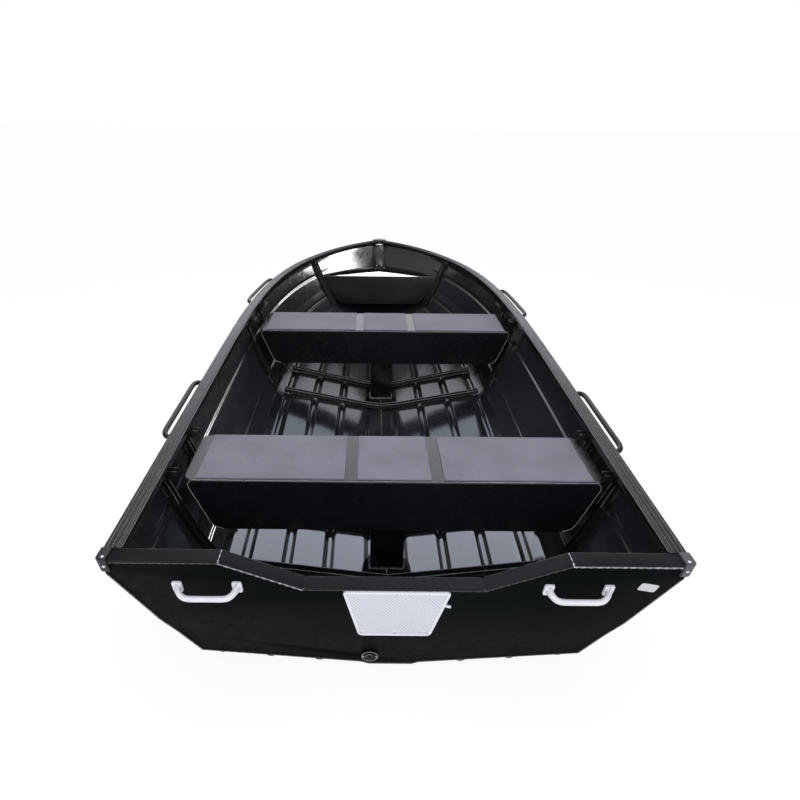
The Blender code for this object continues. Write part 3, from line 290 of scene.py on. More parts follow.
def eased_copy(solid, look, width, segments=2, above=25.0):
    """A solid's own faces, merged, with each fold sharper than the angle rounded off by a bevel."""
    mesh = nodes[solid].data.copy()
    work = bmesh.new()
    work.from_mesh(mesh)
    bmesh.ops.remove_doubles(work, verts=work.verts, dist=1e-5)
    bmesh.ops.dissolve_limit(work, angle_limit=np.radians(0.8), verts=work.verts, edges=work.edges)
    work.to_mesh(mesh)
    work.free()
    mesh.shade_smooth()
    mesh.materials.clear()
    mesh.materials.append(look)
    obj = bpy.data.objects.new("eased_" + solid, mesh)
    bpy.context.scene.collection.objects.link(obj)
    ease = obj.modifiers.new("ease", "BEVEL")
    ease.width = width
    ease.segments = segments
    ease.limit_method = "ANGLE"
    ease.angle_limit = np.radians(above)
    ease.harden_normals = True
    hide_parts(solid)
    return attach(obj, "root")


# Finishes
def node(tree, kind, inputs, **settings):
    """Outputs of a new node: settings by name, each input a number or another node's output."""
    made = tree.nodes.new("ShaderNode" + kind)
    for setting, value in settings.items():
        setattr(made, setting, value)
    for socket, value in inputs.items():
        if isinstance(value, bpy.types.NodeSocket):
            tree.links.new(value, made.inputs[socket])
        else:
            made.inputs[socket].default_value = value
    return made.outputs


def maths(tree, operation, first, second):
    """Output of one sum on two numbers or outputs, such as their difference or the larger one."""
    return node(tree, "Math", {0: first, 1: second}, operation=operation)[0]


def start_look(name, rough, specular, metallic=0.0):
    """New material, with its uniform numbers on the shader's own sockets, and the piece's own
    coordinates."""
    look = bpy.data.materials.new(name)
    look.use_nodes = True
    shader = look.node_tree.nodes["Principled BSDF"].inputs
    shader["Roughness"].default_value = rough
    shader["Metallic"].default_value = metallic
    shader["Specular IOR Level"].default_value = specular
    return look, look.node_tree, node(look.node_tree, "TexCoord", {})["Object"]


def finish_look(look, tone, sheen, bump):
    """Colour, roughness and bump linked to the shader."""
    shader = look.node_tree.nodes["Principled BSDF"].inputs
    for socket, output in (("Base Color", tone), ("Roughness", sheen), ("Normal", bump)):
        look.node_tree.links.new(output, shader[socket])
    return look


def noise(tree, coords, scale, detail=3.0, stretch=(1.0, 1.0, 1.0)):
    """Noise on the piece's own coordinates, scaled apart along the three axes."""
    drawn = node(tree, "Mapping", {"Vector": coords, "Scale": stretch})["Vector"]
    return node(tree, "TexNoise", {"Vector": drawn, "Scale": scale, "Detail": detail})["Fac"]


def span(tree, value, low, high, start=0.35, end=0.65):
    """Value between two marks carried to another pair of values."""
    marks = {"Value": value, "From Min": start, "From Max": end, "To Min": low, "To Max": high}
    return node(tree, "MapRange", marks)["Result"]


def blend_colour(tree, share, first, second):
    """Colour between two, by a share; either may be a colour or another node's output."""
    first, second = ((*colour, 1.0) if isinstance(colour, tuple) else colour for colour in (first, second))
    return node(tree, "Mix", {"Factor": share, 6: first, 7: second}, data_type="RGBA")[2]


def lift(tree, height, distance, before=None):
    """Bump of a height in metres, on top of an earlier one."""
    inputs = {"Height": height, "Distance": distance, "Strength": 1.0}
    if before is not None:
        inputs["Normal"] = before
    return node(tree, "Bump", inputs)["Normal"]


def paint_look(name, dark, light, rough, specular, wave=0.0006, dust=0.10, crown=None):
    """Sprayed paint on rolled sheet: slow waves of the sheet, a fine peel, tone that drifts, and faint
    dust. A crown (middle's distance forward, fall per square metre, edge's distance forward) lets the
    sheet's gloss bend as over a slight arch, minus the fall times the square of the distance from its
    middle, and leaves it duller aft of the edge."""
    look, tree, coords = start_look(name, rough[0], specular)
    tone = blend_colour(tree, span(tree, noise(tree, coords, 2.2, 2.0), 0.0, 1.0), dark, light)
    dusty = tuple(0.06 + channel for channel in light)
    tone = blend_colour(tree, span(tree, noise(tree, coords, 620.0, 2.0), 0.0, dust, 0.60, 0.78), tone, dusty)
    sheen = span(tree, noise(tree, coords, 45.0, 4.0), *rough)
    waves = lift(tree, noise(tree, coords, 5.0, 1.0), wave)
    if crown is not None:
        middle, fall, edge = crown
        ahead = node(tree, "SeparateXYZ", {"Vector": coords})["Y"]
        squared = maths(tree, "POWER", maths(tree, "SUBTRACT", ahead, middle), 2.0)
        waves = lift(tree, maths(tree, "MULTIPLY", squared, -fall), 1.0, waves)
        sheen = maths(tree, "ADD", span(tree, ahead, 0.26, 0.0, edge, edge + 0.004), sheen)
    return finish_look(look, tone, sheen, lift(tree, noise(tree, coords, 900.0, 2.0), 0.000004, waves))


def drawn_look(name, dark, light, rough, specular):
    """Painted extrusion: die lines run along it, with rubbed spots that show lighter."""
    look, tree, coords = start_look(name, rough[0], specular)
    lines = noise(tree, coords, 60.0, 3.0, (6.0, 0.12, 6.0))
    rubbed = noise(tree, coords, 22.0, 5.0, (1.0, 0.4, 1.0))
    tone = blend_colour(tree, span(tree, lines, 0.0, 1.0), dark, light)
    worn = tuple(3.0 * channel for channel in light)
    tone = blend_colour(tree, span(tree, rubbed, 0.0, 0.5, 0.62, 0.80), tone, worn)
    return finish_look(look, tone, span(tree, rubbed, *rough), lift(tree, lines, 0.00004))


def grained_look(name, dark, light, rough, specular, grain_scale, grain_height, clouds=14.0, metallic=0.0):
    """Moulding, rubber, painted casting, weld or rivet: tone in clouds, and a fine even grain or pits."""
    look, tree, coords = start_look(name, rough[0], specular, metallic)
    tone = blend_colour(tree, span(tree, noise(tree, coords, clouds, 4.0), 0.0, 1.0), dark, light)
    grain = noise(tree, coords, grain_scale)
    return finish_look(look, tone, span(tree, grain, *rough), lift(tree, grain, grain_height))


def foam_look():
    """Closed-cell foam: soft mottling in two sizes, open pores on the skin and a faint nap."""
    look, tree, coords = start_look("foam_skin", 0.85, 0.25)
    shader = tree.nodes["Principled BSDF"].inputs
    shader["Sheen Weight"].default_value = 0.15
    shader["Sheen Roughness"].default_value = 0.6
    cloud = noise(tree, coords, 7.0, 4.0)
    grain = noise(tree, coords, 240.0)
    tone = blend_colour(tree, span(tree, cloud, 0.0, 1.0), (0.150, 0.154, 0.202), (0.198, 0.202, 0.256))
    tone = blend_colour(tree, span(tree, grain, 0.0, 0.55, 0.45, 0.80), tone, (0.125, 0.125, 0.155))
    pores = node(tree, "TexVoronoi", {"Vector": coords, "Scale": 620.0})["Distance"]
    dents = lift(tree, noise(tree, coords, 26.0), 0.0011)
    return finish_look(look, tone, span(tree, cloud, 0.78, 0.95), lift(tree, pores, 0.00022, dents))


def groove_shaded_look(name, low, high, rough, specular):
    """Moulded plate with a raised pattern: its own pale colour on the ridges, and painted shade, a darker
    colour, down in the grooves between them.
    """
    look, tree, coords = start_look(name, rough[0], specular)
    painted_light_share = node(tree, "Attribute", {}, attribute_name="painted_light_share")["Fac"]
    worn = tuple(0.86 * channel for channel in high)
    tone = blend_colour(tree, painted_light_share, low, high)
    tone = blend_colour(tree, span(tree, noise(tree, coords, 12.0), 0.0, 0.35), tone, worn)
    grain = noise(tree, coords, 500.0)
    return finish_look(look, tone, span(tree, grain, *rough), lift(tree, grain, 0.00004))


bottom_paint = paint_look(
    "bottom_gloss_black", (0.008, 0.010, 0.013), (0.013, 0.015, 0.019), (0.10, 0.16), 0.45,
    wave=0.00015, dust=0.04,
)
side_paint = paint_look(
    "side_black", (0.015, 0.018, 0.022), (0.022, 0.025, 0.030), (0.12, 0.20), 0.50, wave=0.0003
)
transom_paint = paint_look(
    "transom_black", (0.0020, 0.0032, 0.0036), (0.0038, 0.0054, 0.0056), (0.30, 0.42), 0.01,
    wave=0.0003, dust=0.02,
)
seat_paint = paint_look(
    "seat_black", (0.004, 0.005, 0.007), (0.007, 0.008, 0.011), (0.20, 0.28), 0.60, wave=0.00015, dust=0.0
)
rib_paint = paint_look("rib_black", (0.010, 0.012, 0.014), (0.018, 0.020, 0.023), (0.18, 0.28), 0.80)
frame_paint = paint_look(
    "frame_black", (0.012, 0.014, 0.018), (0.020, 0.022, 0.027), (0.20, 0.28), 0.60, dust=0.0
)
deck_paint = paint_look(
    "deck_gloss_black", (0.006, 0.007, 0.008), (0.009, 0.010, 0.011), (0.04, 0.08), 0.9, wave=0.0008,
    crown=(4.60 + boat_shift[1], 0.10, 3.003 + boat_shift[1]),
)
trim_paint = drawn_look("gunwale_satin", (0.003, 0.004, 0.006), (0.008, 0.010, 0.012), (0.22, 0.32), 0.34)
cap_paint = paint_look(
    "cap_satin", (0.007, 0.008, 0.010), (0.012, 0.014, 0.017), (0.36, 0.50), 0.05, dust=0.03
)
bar_paint = paint_look(
    "bar_black", (0.004, 0.005, 0.006), (0.008, 0.009, 0.010), (0.20, 0.30), 0.25, dust=0.0
)
cast_white = grained_look(
    "cast_white", (0.76, 0.78, 0.86), (0.84, 0.86, 0.93), (0.34, 0.48), 0.4, 420.0, 0.00010
)
# First colour: painted shade in the grooves of the motor pad; second: the plate's own pale white on its
# ridges.
plate_white_shaded_grooves = groove_shaded_look("plate_white_shaded_grooves", (0.52, 0.54, 0.64), (0.88, 0.90, 0.99), (0.40, 0.55), 0.35)
# Pale colours of the thin lines along edges: painted highlights where those edges catch the light.
edge_highlight_grey = grained_look(
    "painted_edge_highlight", (0.20, 0.21, 0.24), (0.36, 0.37, 0.41), (0.22, 0.34), 0.6, 300.0, 0.00001
)
highlight_line_grey = grained_look(
    "painted_highlight_line", (0.05, 0.055, 0.06), (0.20, 0.21, 0.22), (0.24, 0.36), 0.5, 60.0, 0.00001
)
# The two gunwale end caps are one moulding in two colours: the starboard one lighter, painted light, the port
# one near black, painted shade.
cap_lit_grey = grained_look(
    "cap_moulding_painted_lit", (0.075, 0.075, 0.096), (0.100, 0.100, 0.124), (0.40, 0.55), 0.3, 800.0, 0.00002
)
cap_shaded_dark = grained_look(
    "cap_moulding_painted_shade", (0.010, 0.011, 0.013), (0.018, 0.019, 0.022), (0.35, 0.5), 0.3, 800.0, 0.00002
)
drain_black = grained_look(
    "drain_moulding", (0.003, 0.004, 0.005), (0.006, 0.007, 0.008), (0.30, 0.42), 0.12, 800.0, 0.00003
)
plug_black = grained_look(
    "plug_rubber", (0.004, 0.004, 0.005), (0.008, 0.008, 0.009), (0.4, 0.55), 0.2, 900.0, 0.00004
)
foam = foam_look()
metal_grain = (0.5, 700.0, 0.00018, 240.0)
bright_weld = grained_look(
    "bright_weld", (0.16, 0.16, 0.20), (0.82, 0.82, 0.92), (0.28, 0.48), *metal_grain, metallic=0.35
)
dull_weld = grained_look(
    "painted_weld", (0.020, 0.022, 0.025), (0.14, 0.145, 0.16), (0.24, 0.40), *metal_grain, metallic=0.3
)
rivet_metal = grained_look(
    "rivet_metal", (0.40, 0.41, 0.44), (0.62, 0.63, 0.67), (0.30, 0.42), *metal_grain, metallic=0.6
)
label_blank = grained_look(
    "blank_plate", (0.60, 0.62, 0.66), (0.72, 0.74, 0.78), (0.35, 0.5), 0.4, 900.0, 0.00003
)


# Hull sheets
row_count = 132
row_share = 1.0 - (1.0 - np.linspace(0.0, 1.0, row_count)) ** 1.3


def smooth_step(q, a, b):
    t = np.clip((q - a) / (b - a), 0.0, 1.0)
    return t * t * (3 - 2 * t)


def edge_line(table, half, height):
    """Line from the transom to the stem: distance forward by share of its length, half beam and height by
    curve."""
    start = float(transom_y(table[0][-1])) + seam_gap
    y = start + (table[-1][0] - start) * row_share
    return np.stack([half(y), y, height(y)], 1)


def folds(table, reference):
    """Four folds of each pressing: place as a share of the panel's width, and depth."""
    return [
        (centre + offset / reference, amount)
        for centre, foot, floor, depth in table
        for offset, amount in ((-foot, 0.0), (-floor, depth), (floor, depth), (foot, 0.0))
    ]


def skin_points(pressed):
    """Outer surface of the starboard half: rows from the transom to the stem, columns from keel to
    gunwale. Keel, chine and sheer are lines; a point between two of them is their straight mix, pushed
    out along the panel's normal by the depth of a pressing, or by the knuckle's bulge."""
    keel = edge_line(keel_table, lambda y: 0 * y, curve(keel_table, 1))
    chine = edge_line(chine_table, curve(chine_table, 1), curve(chine_table, 2))
    sheer = edge_line(sheer_table, curve(sheer_table, 1), curve(sheer_table, 2))
    sheer[:, 0] = np.maximum(sheer[:, 0] - (gunwale_width - gunwale_sheet_in), apex_half)
    sheer[:, 2] -= gunwale_top_rise
    narrow = np.clip(chine[:, :1] / full_chine_half, 0.0, 1.0)
    fade = (1.0 - smooth_step(keel[:, 1:2], *pressing_fade)) * pressed
    flat = keel + narrow * keel_flat_half * across
    root = flat + narrow * (keel_wall_run * across + keel_wall_rise * upright)
    panel = chine - root
    down = unit(np.cross(unit(panel), forward))
    down *= np.where(down[:, 2:3] > 0, -1.0, 1.0)
    columns = [keel, flat, root]
    for place, depth in folds(strake_table, bottom_reference):
        columns.append(root + panel * place + down * depth * fade)
    chine_column = len(columns)
    columns.append(chine)
    shoulder = chine + (sheer - chine) * side_shoulder
    shoulder[:, 0] = sheer[:, 0] - side_shoulder_in
    side = shoulder - chine
    out = np.cross(forward, unit(side))
    out *= np.where(out[:, :1] < 0, -1.0, 1.0)
    knuckle_at = side_bulge_at / side_shoulder
    places = [(side_bulge_at, 0.0), (side_shoulder, 0.0)] + folds(rail_table, side_reference)
    for place, depth in sorted(places):
        up = place / side_shoulder
        share = min(up / knuckle_at, (1 - up) / (1 - knuckle_at))
        columns.append(chine + side * up + out * (side_bulge * narrow * share + depth * fade))
    columns.append(sheer)
    grid = np.stack(columns, 1)
    grid[0, :, 1] = transom_y(grid[0, :, 2]) + seam_gap
    return grid, chine_column


def inner_face(grid, depth):
    """The grid moved in by the sheet's thickness: at each point along the sum of the normals of the cells
    round it, and further where they bend apart, so that both faces stay parallel."""
    cell = unit(np.cross(grid[1:, 1:] - grid[:-1, :-1], grid[1:, :-1] - grid[:-1, 1:]))
    cell *= np.sign((cell * np.array([1.0, 0.0, -0.6])).sum(2))[:, :, None]
    padded_cell = np.pad(cell, ((1, 1), (1, 1), (0, 0)))
    known = np.pad(np.ones(cell.shape[:2]), 1)
    around = [padded_cell[i : i + grid.shape[0], j : j + grid.shape[1]] for i in (0, 1) for j in (0, 1)]
    count = sum(known[i : i + grid.shape[0], j : j + grid.shape[1]] for i in (0, 1) for j in (0, 1))
    total = sum(around)
    total[:, 0, 0] = 0.0
    total = unit(total)
    reach = sum((total * near).sum(2) for near in around)
    moved = grid - total * (depth * np.clip(count / reach, 1.0, 1.6))[:, :, None]
    moved[0, :, 1] = transom_y(moved[0, :, 2]) + seam_gap
    return moved


def mirrored(points, side):
    return points * np.array([side, 1.0, 1.0])


pressed_outer, chine_column = skin_points(1.0)
pressed_inner = inner_face(pressed_outer, skin)
plain_outer, _ = skin_points(0.0)
plain_inner = inner_face(plain_outer, skin)
both_sides = (("starboard", 1.0), ("port", -1.0))


def build_hull():
    """Bottom and side sheets of both halves: the columns up to the chine and from it, each fold bent to a
    radius."""
    parts = (
        ("hull_bottom_", slice(None, chine_column + 1), -1, -2, bottom_paint),
        ("hull_side_", slice(chine_column, None), 0, 1, side_paint),
    )
    for name, columns, seam, beside, look in parts:
        faces = []
        for grid in (pressed_outer, pressed_inner):
            cut = grid[:, columns].copy()
            cut[:, seam] += unit(cut[:, beside] - cut[:, seam]) * 0.5 * seam_gap
            cut[..., 0] = np.maximum(cut[..., 0], 0.5 * seam_gap)
            faces.append(soften(cut, sheet_bend))
        for side_name, side in both_sides:
            shell = sheet(mirrored(faces[0], side), mirrored(faces[1], side))
            add_piece(name + side_name + "_sheet", shell, look, [name + side_name])


def section_at(y):
    """Inner skin without its pressings, cut across the boat: each column's line read off at that
    distance."""
    return np.array([
        (np.interp(y, column[:, 1], column[:, 0]), y, np.interp(y, column[:, 1], column[:, 2]))
        for column in plain_inner.transpose(1, 0, 2)
    ])


# Gunwales
gunwale_line = pressed_outer[:, -1].copy()
gunwale_aft = cap_depth - plate - transom_thickness + 2 * seam_gap
gunwale_line[0] += (gunwale_line[1] - gunwale_line[0]) * gunwale_aft / (gunwale_line[1] - gunwale_line[0])[1]
gunwale_line = gunwale_line[(gunwale_line[:, 1] > gunwale_line[0, 1] + 0.005) | (np.arange(row_count) == 0)]


def gunwale_section(lean):
    """Distances out and up of the extrusion's outline from the top edge of the sheet, for each lean of
    the sheet; the two legs that grip the sheet lean with it."""
    one = np.ones_like(lean)
    inner_x, outer_x = -gunwale_sheet_in, gunwale_width - gunwale_sheet_in
    top, under = gunwale_top_rise, gunwale_top_rise - gunwale_wall
    ceiling, leg = gunwale_roof_gap, gunwale_leg
    inside = -skin * np.hypot(1.0, lean) - 2 * seam_gap
    shift = -lean * leg
    lip_x, groove_x = inner_x + gunwale_lip_width, inner_x + gunwale_groove_end
    groove = top - gunwale_groove_depth
    points = [
        (inner_x, -gunwale_inner_flange), (inner_x, top + gunwale_lip_rise), (lip_x, top + gunwale_lip_rise),
        (lip_x, groove), (groove_x, groove), (groove_x, top),
    ]
    for place in gunwale_rib_places:
        for share, rise in ((-0.5, 0.0), (-0.3, gunwale_rib_height), (0.3, gunwale_rib_height), (0.5, 0.0)):
            points.append((inner_x + place + share * gunwale_rib_width, top + rise))
    points += [
        (outer_x - gunwale_edge, top), (outer_x, top - gunwale_edge), (outer_x, -gunwale_outer_flange),
        (outer_x - gunwale_wall, -gunwale_outer_flange), (outer_x - gunwale_wall, -leg),
        (seam_gap + shift, -leg), (seam_gap, 0.0), (seam_gap, ceiling),
        (inside, ceiling), (inside, 0.0), (inside + shift, -leg),
        (inside - skin + shift, -leg), (inside - skin, 0.0),
        (inside - skin, under), (inner_x + gunwale_wall, under),
        (inner_x + gunwale_wall, -gunwale_inner_flange),
    ]
    return np.stack([np.stack([out * one, up * one], -1) for out, up in points], 1)


def build_gunwales():
    """The section carried along the sheer: at each row it stands square to the line seen from above,
    mitred between the runs before and after; the aft end is cut parallel to the transom and the fore end
    at the middle plane. Pale lines along its lip, its ribs and its outer edge are painted highlights, where
    those edges catch the light."""
    runs = unit(np.diff(gunwale_line, axis=0) * (across + forward))
    out = mitres(np.stack([runs[:, 1], -runs[:, 0], 0 * runs[:, 0]], 1))
    below = np.array([
        np.interp(gunwale_line[:, 1], pressed_outer[:, -2, 1], pressed_outer[:, -2, axis]) for axis in (0, 2)
    ]).T
    drop = gunwale_line[:, 2] - below[:, 1]
    lean = np.clip((gunwale_line[:, 0] - below[:, 0]) * out[:, 0] / drop, 0.0, None)
    section = soften(gunwale_section(lean), 0.0007, 2, closed=True)
    rings = gunwale_line[:, None] + out[:, None] * section[..., :1] + upright * section[..., 1:]
    rings[0, :, 1] = transom_y(rings[0, :, 2]) + gunwale_aft
    rings[-1] += runs[-1] * ((rings[-1, :, :1] - 2 * seam_gap) / -runs[-1, 0])
    inner_x, top = -gunwale_sheet_in, gunwale_top_rise
    # Places and radii of the painted highlight lines: lip, ribs and outer edge.
    lines = [(inner_x + 0.5 * gunwale_lip_width, top + gunwale_lip_rise, 0.0008)]
    lines += [(inner_x + place, top + gunwale_rib_height, 0.0005) for place in gunwale_rib_places]
    lines.append((gunwale_width - gunwale_sheet_in - 0.5 * gunwale_edge, top - 0.5 * gunwale_edge, 0.0006))
    for side_name, side in both_sides:
        name = "gunwale_" + side_name
        # Painted highlight lines along the extrusion's edges.
        rubbed = []
        for reach, rise, radius in lines:
            path = (gunwale_line + out * reach + upright * rise)[:-3]
            rubbed.append(painted_highlight_line(mirrored(path, side), radius, step=0.05, sides=5))
        add_piece(name + "_rubbed_lines", joined(rubbed), highlight_line_grey)
        add_piece(name + "_extrusion", tube(mirrored(rings, side)), trim_paint, [name], sharp=40.0)


# Seats
def build_seat(name):
    """Folded sheet: rows follow its section from lip to lip, each row as long as the seat is wide at that
    height less the cut of the corner; the inner face is the same section moved in by the sheet's
    thickness."""
    aft, width, top, aft_half, fore_half, bottom, bottom_half, middle = seat_table[name]
    half = [(aft + run, bottom + up, trim) for run, up, trim in seat_lower_edge]
    half += [(aft + run, top + up, trim) for run, up, trim in seat_upper_edge]
    rows = np.array(half + [(2 * aft + width - y, z, trim) for y, z, trim in reversed(half)])
    share = np.clip((rows[:, 0] - aft) / width, 0, 1)
    top_half = aft_half + (fore_half - aft_half) * share
    drop = np.clip((top - rows[:, 1]) / (top - bottom), 0, 1)
    reach = top_half + (bottom_half - top_half) * drop - rows[:, 2]
    step = unit(np.diff(rows[:, :2], axis=0))
    mitre = mitres(np.stack([step[:, 1], -step[:, 0]], 1))
    ends = np.array([-1.0, -1.0, 1.0, 1.0])
    faces = []
    for depth in (0.0, plate):
        section = np.column_stack([rows[:, :2] + mitre * depth, reach])
        section = soften(section, 0.0035, 3)
        x = middle + ends * section[:, 2:] + np.array([0.0, seat_rim, -seat_rim, 0.0])
        y, z = np.broadcast_to(section[:, :1], x.shape), np.broadcast_to(section[:, 1:2], x.shape)
        faces.append(np.stack([x, y, z], -1))
    add_piece("seat_" + name + "_sheet", sheet(*faces), seat_paint, ["seat_" + name], sharp=35.0)


def pad_height(distance):
    """Height of a foam pad's skin by distance from its edge: a rolled edge, then a slow rise to the full
    thickness."""
    inside = np.clip(distance / pad_roll, 0.0, 1.0)
    edge = pad_roll * np.sqrt(np.clip(1.0 - (1.0 - inside) ** 2, 0.0, 1.0))
    return pad_thickness - pad_rise - pad_roll + edge + pad_rise * smooth_step(distance, 0.002, 0.06)


def build_pad(name, pad_name):
    """Skin over a plan with rounded corners, whose height is a function of the distance from the edge,
    less slight hollows, a product of two sines; the underside lies flat."""
    aft, width, top, _, _, _, _, middle = seat_table[name]
    low, high = pad_edges[pad_name]
    centre = np.array([middle + 0.5 * (low + high), aft + 0.5 * width])
    half = np.array([0.5 * (high - low), 0.5 * width - pad_margin])
    lines = []
    for size in half:
        inner = np.linspace(pad_field_from, 2 * size - pad_field_from, int(2 * size / pad_field_step))
        lines.append(np.concatenate([pad_lines, inner, 2 * size - pad_lines[::-1]]) - size)
    u, v = np.meshgrid(*lines, indexing="ij")
    x, y, corner, a, b = rounded_plan(u, v, *half, pad_corner)
    distance = pad_corner * (1 - np.where(corner, np.hypot(a, b), np.maximum(a, b)))
    inner_distance = np.minimum(half[0] - np.abs(u), half[1] - np.abs(v))
    distance = np.where(inner_distance > pad_corner, inner_distance, np.clip(distance, 0.0, None))
    hollows = pad_hollow * np.abs(np.sin(31.0 * x + 9.0 * y) * np.sin(27.0 * y - 5.0 * x))
    height = pad_height(distance) - hollows * smooth_step(distance, 0.004, 0.03)
    upper = np.stack([centre[0] + x, centre[1] + y, top + height], -1)
    lower = np.stack([centre[0] + x, centre[1] + y, np.full_like(x, top + seam_gap)], -1)
    solid = "pad_" + name + "_" + pad_name
    add_piece(solid + "_foam", sheet(upper, lower), foam, [solid], sharp=50.0)


# Turned pieces, bars and beads
def turned(profile, centre, axis, up, count=32):
    """Rings about an axis: profile of radii and heights, at even angles."""
    profile = np.asarray(profile, float)
    c, s = oval(count)
    spoke = c[:, None] * np.cross(up, axis) + s[:, None] * up
    return centre + profile[:, :1, None] * spoke + profile[:, 1:, None] * axis


def rivets(places, normals, radius, height):
    """Domes: each ring's radius and height are the cosine and sine of its angle times the rivet's size."""
    angle = np.linspace(0.0, 0.5 * np.pi, 5)[:-1]
    rings = np.stack([np.cos(angle) * radius, np.sin(angle) * height], 1)
    rings = np.concatenate([[(radius, -0.0008)], rings])
    places, normals = np.broadcast_arrays(np.asarray(places, float), normals)
    shells = []
    for place, normal in zip(places, unit(normals)):
        side = unit(np.cross(normal, (0.3, 0.9, 0.31)))
        shells.append(tube(turned(rings, place, normal, side, 12)))
    return joined(shells)


def walk(path, step):
    """Points at even steps along a polyline, with their tangents and lengths."""
    path = np.asarray(path, float)
    length = np.concatenate([[0.0], np.cumsum(np.linalg.norm(np.diff(path, axis=0), axis=1))])
    at = np.linspace(0.0, length[-1], max(int(length[-1] / step), 4))
    points = np.stack([np.interp(at, length, path[:, axis]) for axis in range(3)], 1)
    return points, unit(np.gradient(points, axis=0)), at


def bead(path, radius, up=upright, pitch=0.0065, flat=0.7, sides=7, ripple=0.22):
    """Weld bead: rings along a path, each an ellipse flattened towards the plates. Its radius swells with
    the sine of the length over the pitch and, more slowly, with lumps, and runs out at both ends."""
    points, tangents, at = walk(path, pitch / 4)
    first = unit(up - tangents * (tangents * up).sum(1)[:, None])
    second = np.cross(tangents, first)
    swell = 1.0 + ripple * np.sin(2 * np.pi * at / pitch) + 0.5 * ripple * np.sin(at / pitch * 1.7 + 1.0)
    ends = np.clip(np.minimum(at, at[-1] - at) / (1.2 * radius), 0.15, 1.0)
    size = radius * swell * np.sqrt(ends)
    c, s = oval(sides)
    ring = flat * c[:, None] * first[:, None] + s[:, None] * second[:, None]
    return tube(points[:, None] + size[:, None, None] * ring)


def painted_highlight_line(path, radius, up=upright, step=0.03, sides=7):
    """Painted highlight along an edge: a thin even bead in a pale colour, standing in for the light that the
    edge catches.
    """
    return bead(path, radius, up, step, sides=sides, ripple=0.1)


def twins(make, path, *values, **more):
    """The same bead or line on both sides of the boat."""
    return [make(mirrored(np.array(path), side), *values, **more) for _, side in both_sides]


def bar(path, first, wide, thick, sides=20, squareness=1.0):
    """Bar along a path: each ring an oval |cos|^n, |sin|^n of two half widths, its first axis kept square
    to it."""
    path = np.asarray(path, float)
    tangents = unit(np.gradient(path, axis=0))
    first = unit(first - tangents * (tangents * first).sum(1)[:, None])
    second = np.cross(tangents, first)
    c, s = oval(sides, squareness)
    wide, thick = np.broadcast_to(wide, len(path)), np.broadcast_to(thick, len(path))
    return (
        path[:, None] + (wide[:, None] * c)[..., None] * first[:, None]
        + (thick[:, None] * s)[..., None] * second[:, None]
    )


def smooth_path(points, count):
    """Curve through a few points: a cubic by the lengths between them, with no overshoot."""
    points = np.asarray(points, float)
    length = np.concatenate([[0.0], np.cumsum(np.linalg.norm(np.diff(points, axis=0), axis=1))])
    at = np.linspace(0.0, length[-1], count)
    return np.stack([curve(np.column_stack([length, points[:, axis]]), 1)(at) for axis in range(3)], 1)


def rounded_slab(centre, first, second, normal, half_a, half_b, height, corner, count=40):
    """Low block with rounded corners: rings of |cos|^n, |sin|^n ovals, drawn in towards the top edge."""
    c, s = oval(count, 0.30)
    rings = []
    bend = 0.3 * corner
    for inset, up in ((0.0, 0.0), (0.0, height - corner), (bend, height - bend), (corner, height)):
        ring = (half_a - inset) * c[:, None] * first + (half_b - inset) * s[:, None] * second + up * normal
        rings.append(centre + ring)
    return tube(np.array(rings))


# Transom handles: a flattened cast bow between two bolted feet
handle_centres = {"port": -0.485, "starboard": 0.478}
handle_s, handle_half_span = 0.398, 0.0775
handle_foot_half, handle_foot_thickness = (0.013, 0.021), 0.0065
handle_half_wide, handle_half_thick, handle_screw_reach = 0.0090, 0.0072, 0.0145
handle_bend = [
    (0.0, 0.004, 0.0), (0.0018, 0.012, 0.000), (0.0065, 0.021, 0.002), (0.015, 0.0295, 0.005),
    (0.027, 0.0338, 0.0075), (0.042, 0.0347, 0.0085),
]


def build_transom_handles():
    """Bow: half of its bend from a short list, mirrored about the middle, with an oval section that is
    thick at the feet; each foot a rounded slab with a domed screw."""
    for side_name, centre_x in handle_centres.items():
        root = on_transom(centre_x - handle_half_span, handle_s)
        run, out, drop = np.array(handle_bend).T[..., None]
        half = root + across * run + transom_out * out - transom_up * drop
        whole = np.concatenate([half, mirrored(half[::-1] - (centre_x, 0, 0), -1.0) + (centre_x, 0, 0)])
        path = smooth_path(whole, 60)
        stout = 1.0 + 0.35 * np.exp(-np.minimum(np.arange(60), np.arange(60)[::-1]) / 4.0)
        shells = [tube(bar(path, transom_up, handle_half_wide * stout, handle_half_thick * stout, 24, 0.85))]
        screws = []
        for end in (-1, 1):
            foot = on_transom(centre_x + end * handle_half_span, handle_s, seam_gap)
            shells.append(rounded_slab(
                foot, across, transom_up, transom_out, *handle_foot_half, handle_foot_thickness, 0.0018
            ))
            for reach in (-handle_screw_reach, handle_screw_reach):
                screws.append(foot + transom_up * reach + transom_out * handle_foot_thickness)
        name = "transom_handle_" + side_name
        add_piece(name + "_casting", joined(shells), cast_white, [name], sharp=45.0)
        add_piece(name + "_screws", rivets(screws, transom_out, 0.0036, 0.0014), rivet_metal)


# Side handles
side_handle_radius, side_handle_reach, side_handle_length, side_handle_drop = 0.0094, 0.0268, 0.450, 0.010
side_handle_weld, side_handle_weld_round = 0.0022, 1.12
side_handle_starts = [
    ("aft", "starboard", 0.436), ("aft", "port", 0.507),
    ("fore", "starboard", 1.845), ("fore", "port", 2.036),
]
# Bend of the bar's half: share of the length, share of the reach, rise
side_handle_bend = [
    (0.0, 0.0, 0.0), (0.0, 0.30, 0.001), (0.010, 0.62, 0.003), (0.045, 0.89, 0.005), (0.11, 1.0, 0.006),
    (0.3, 1.0, 0.006), (0.5, 1.0, 0.006),
]


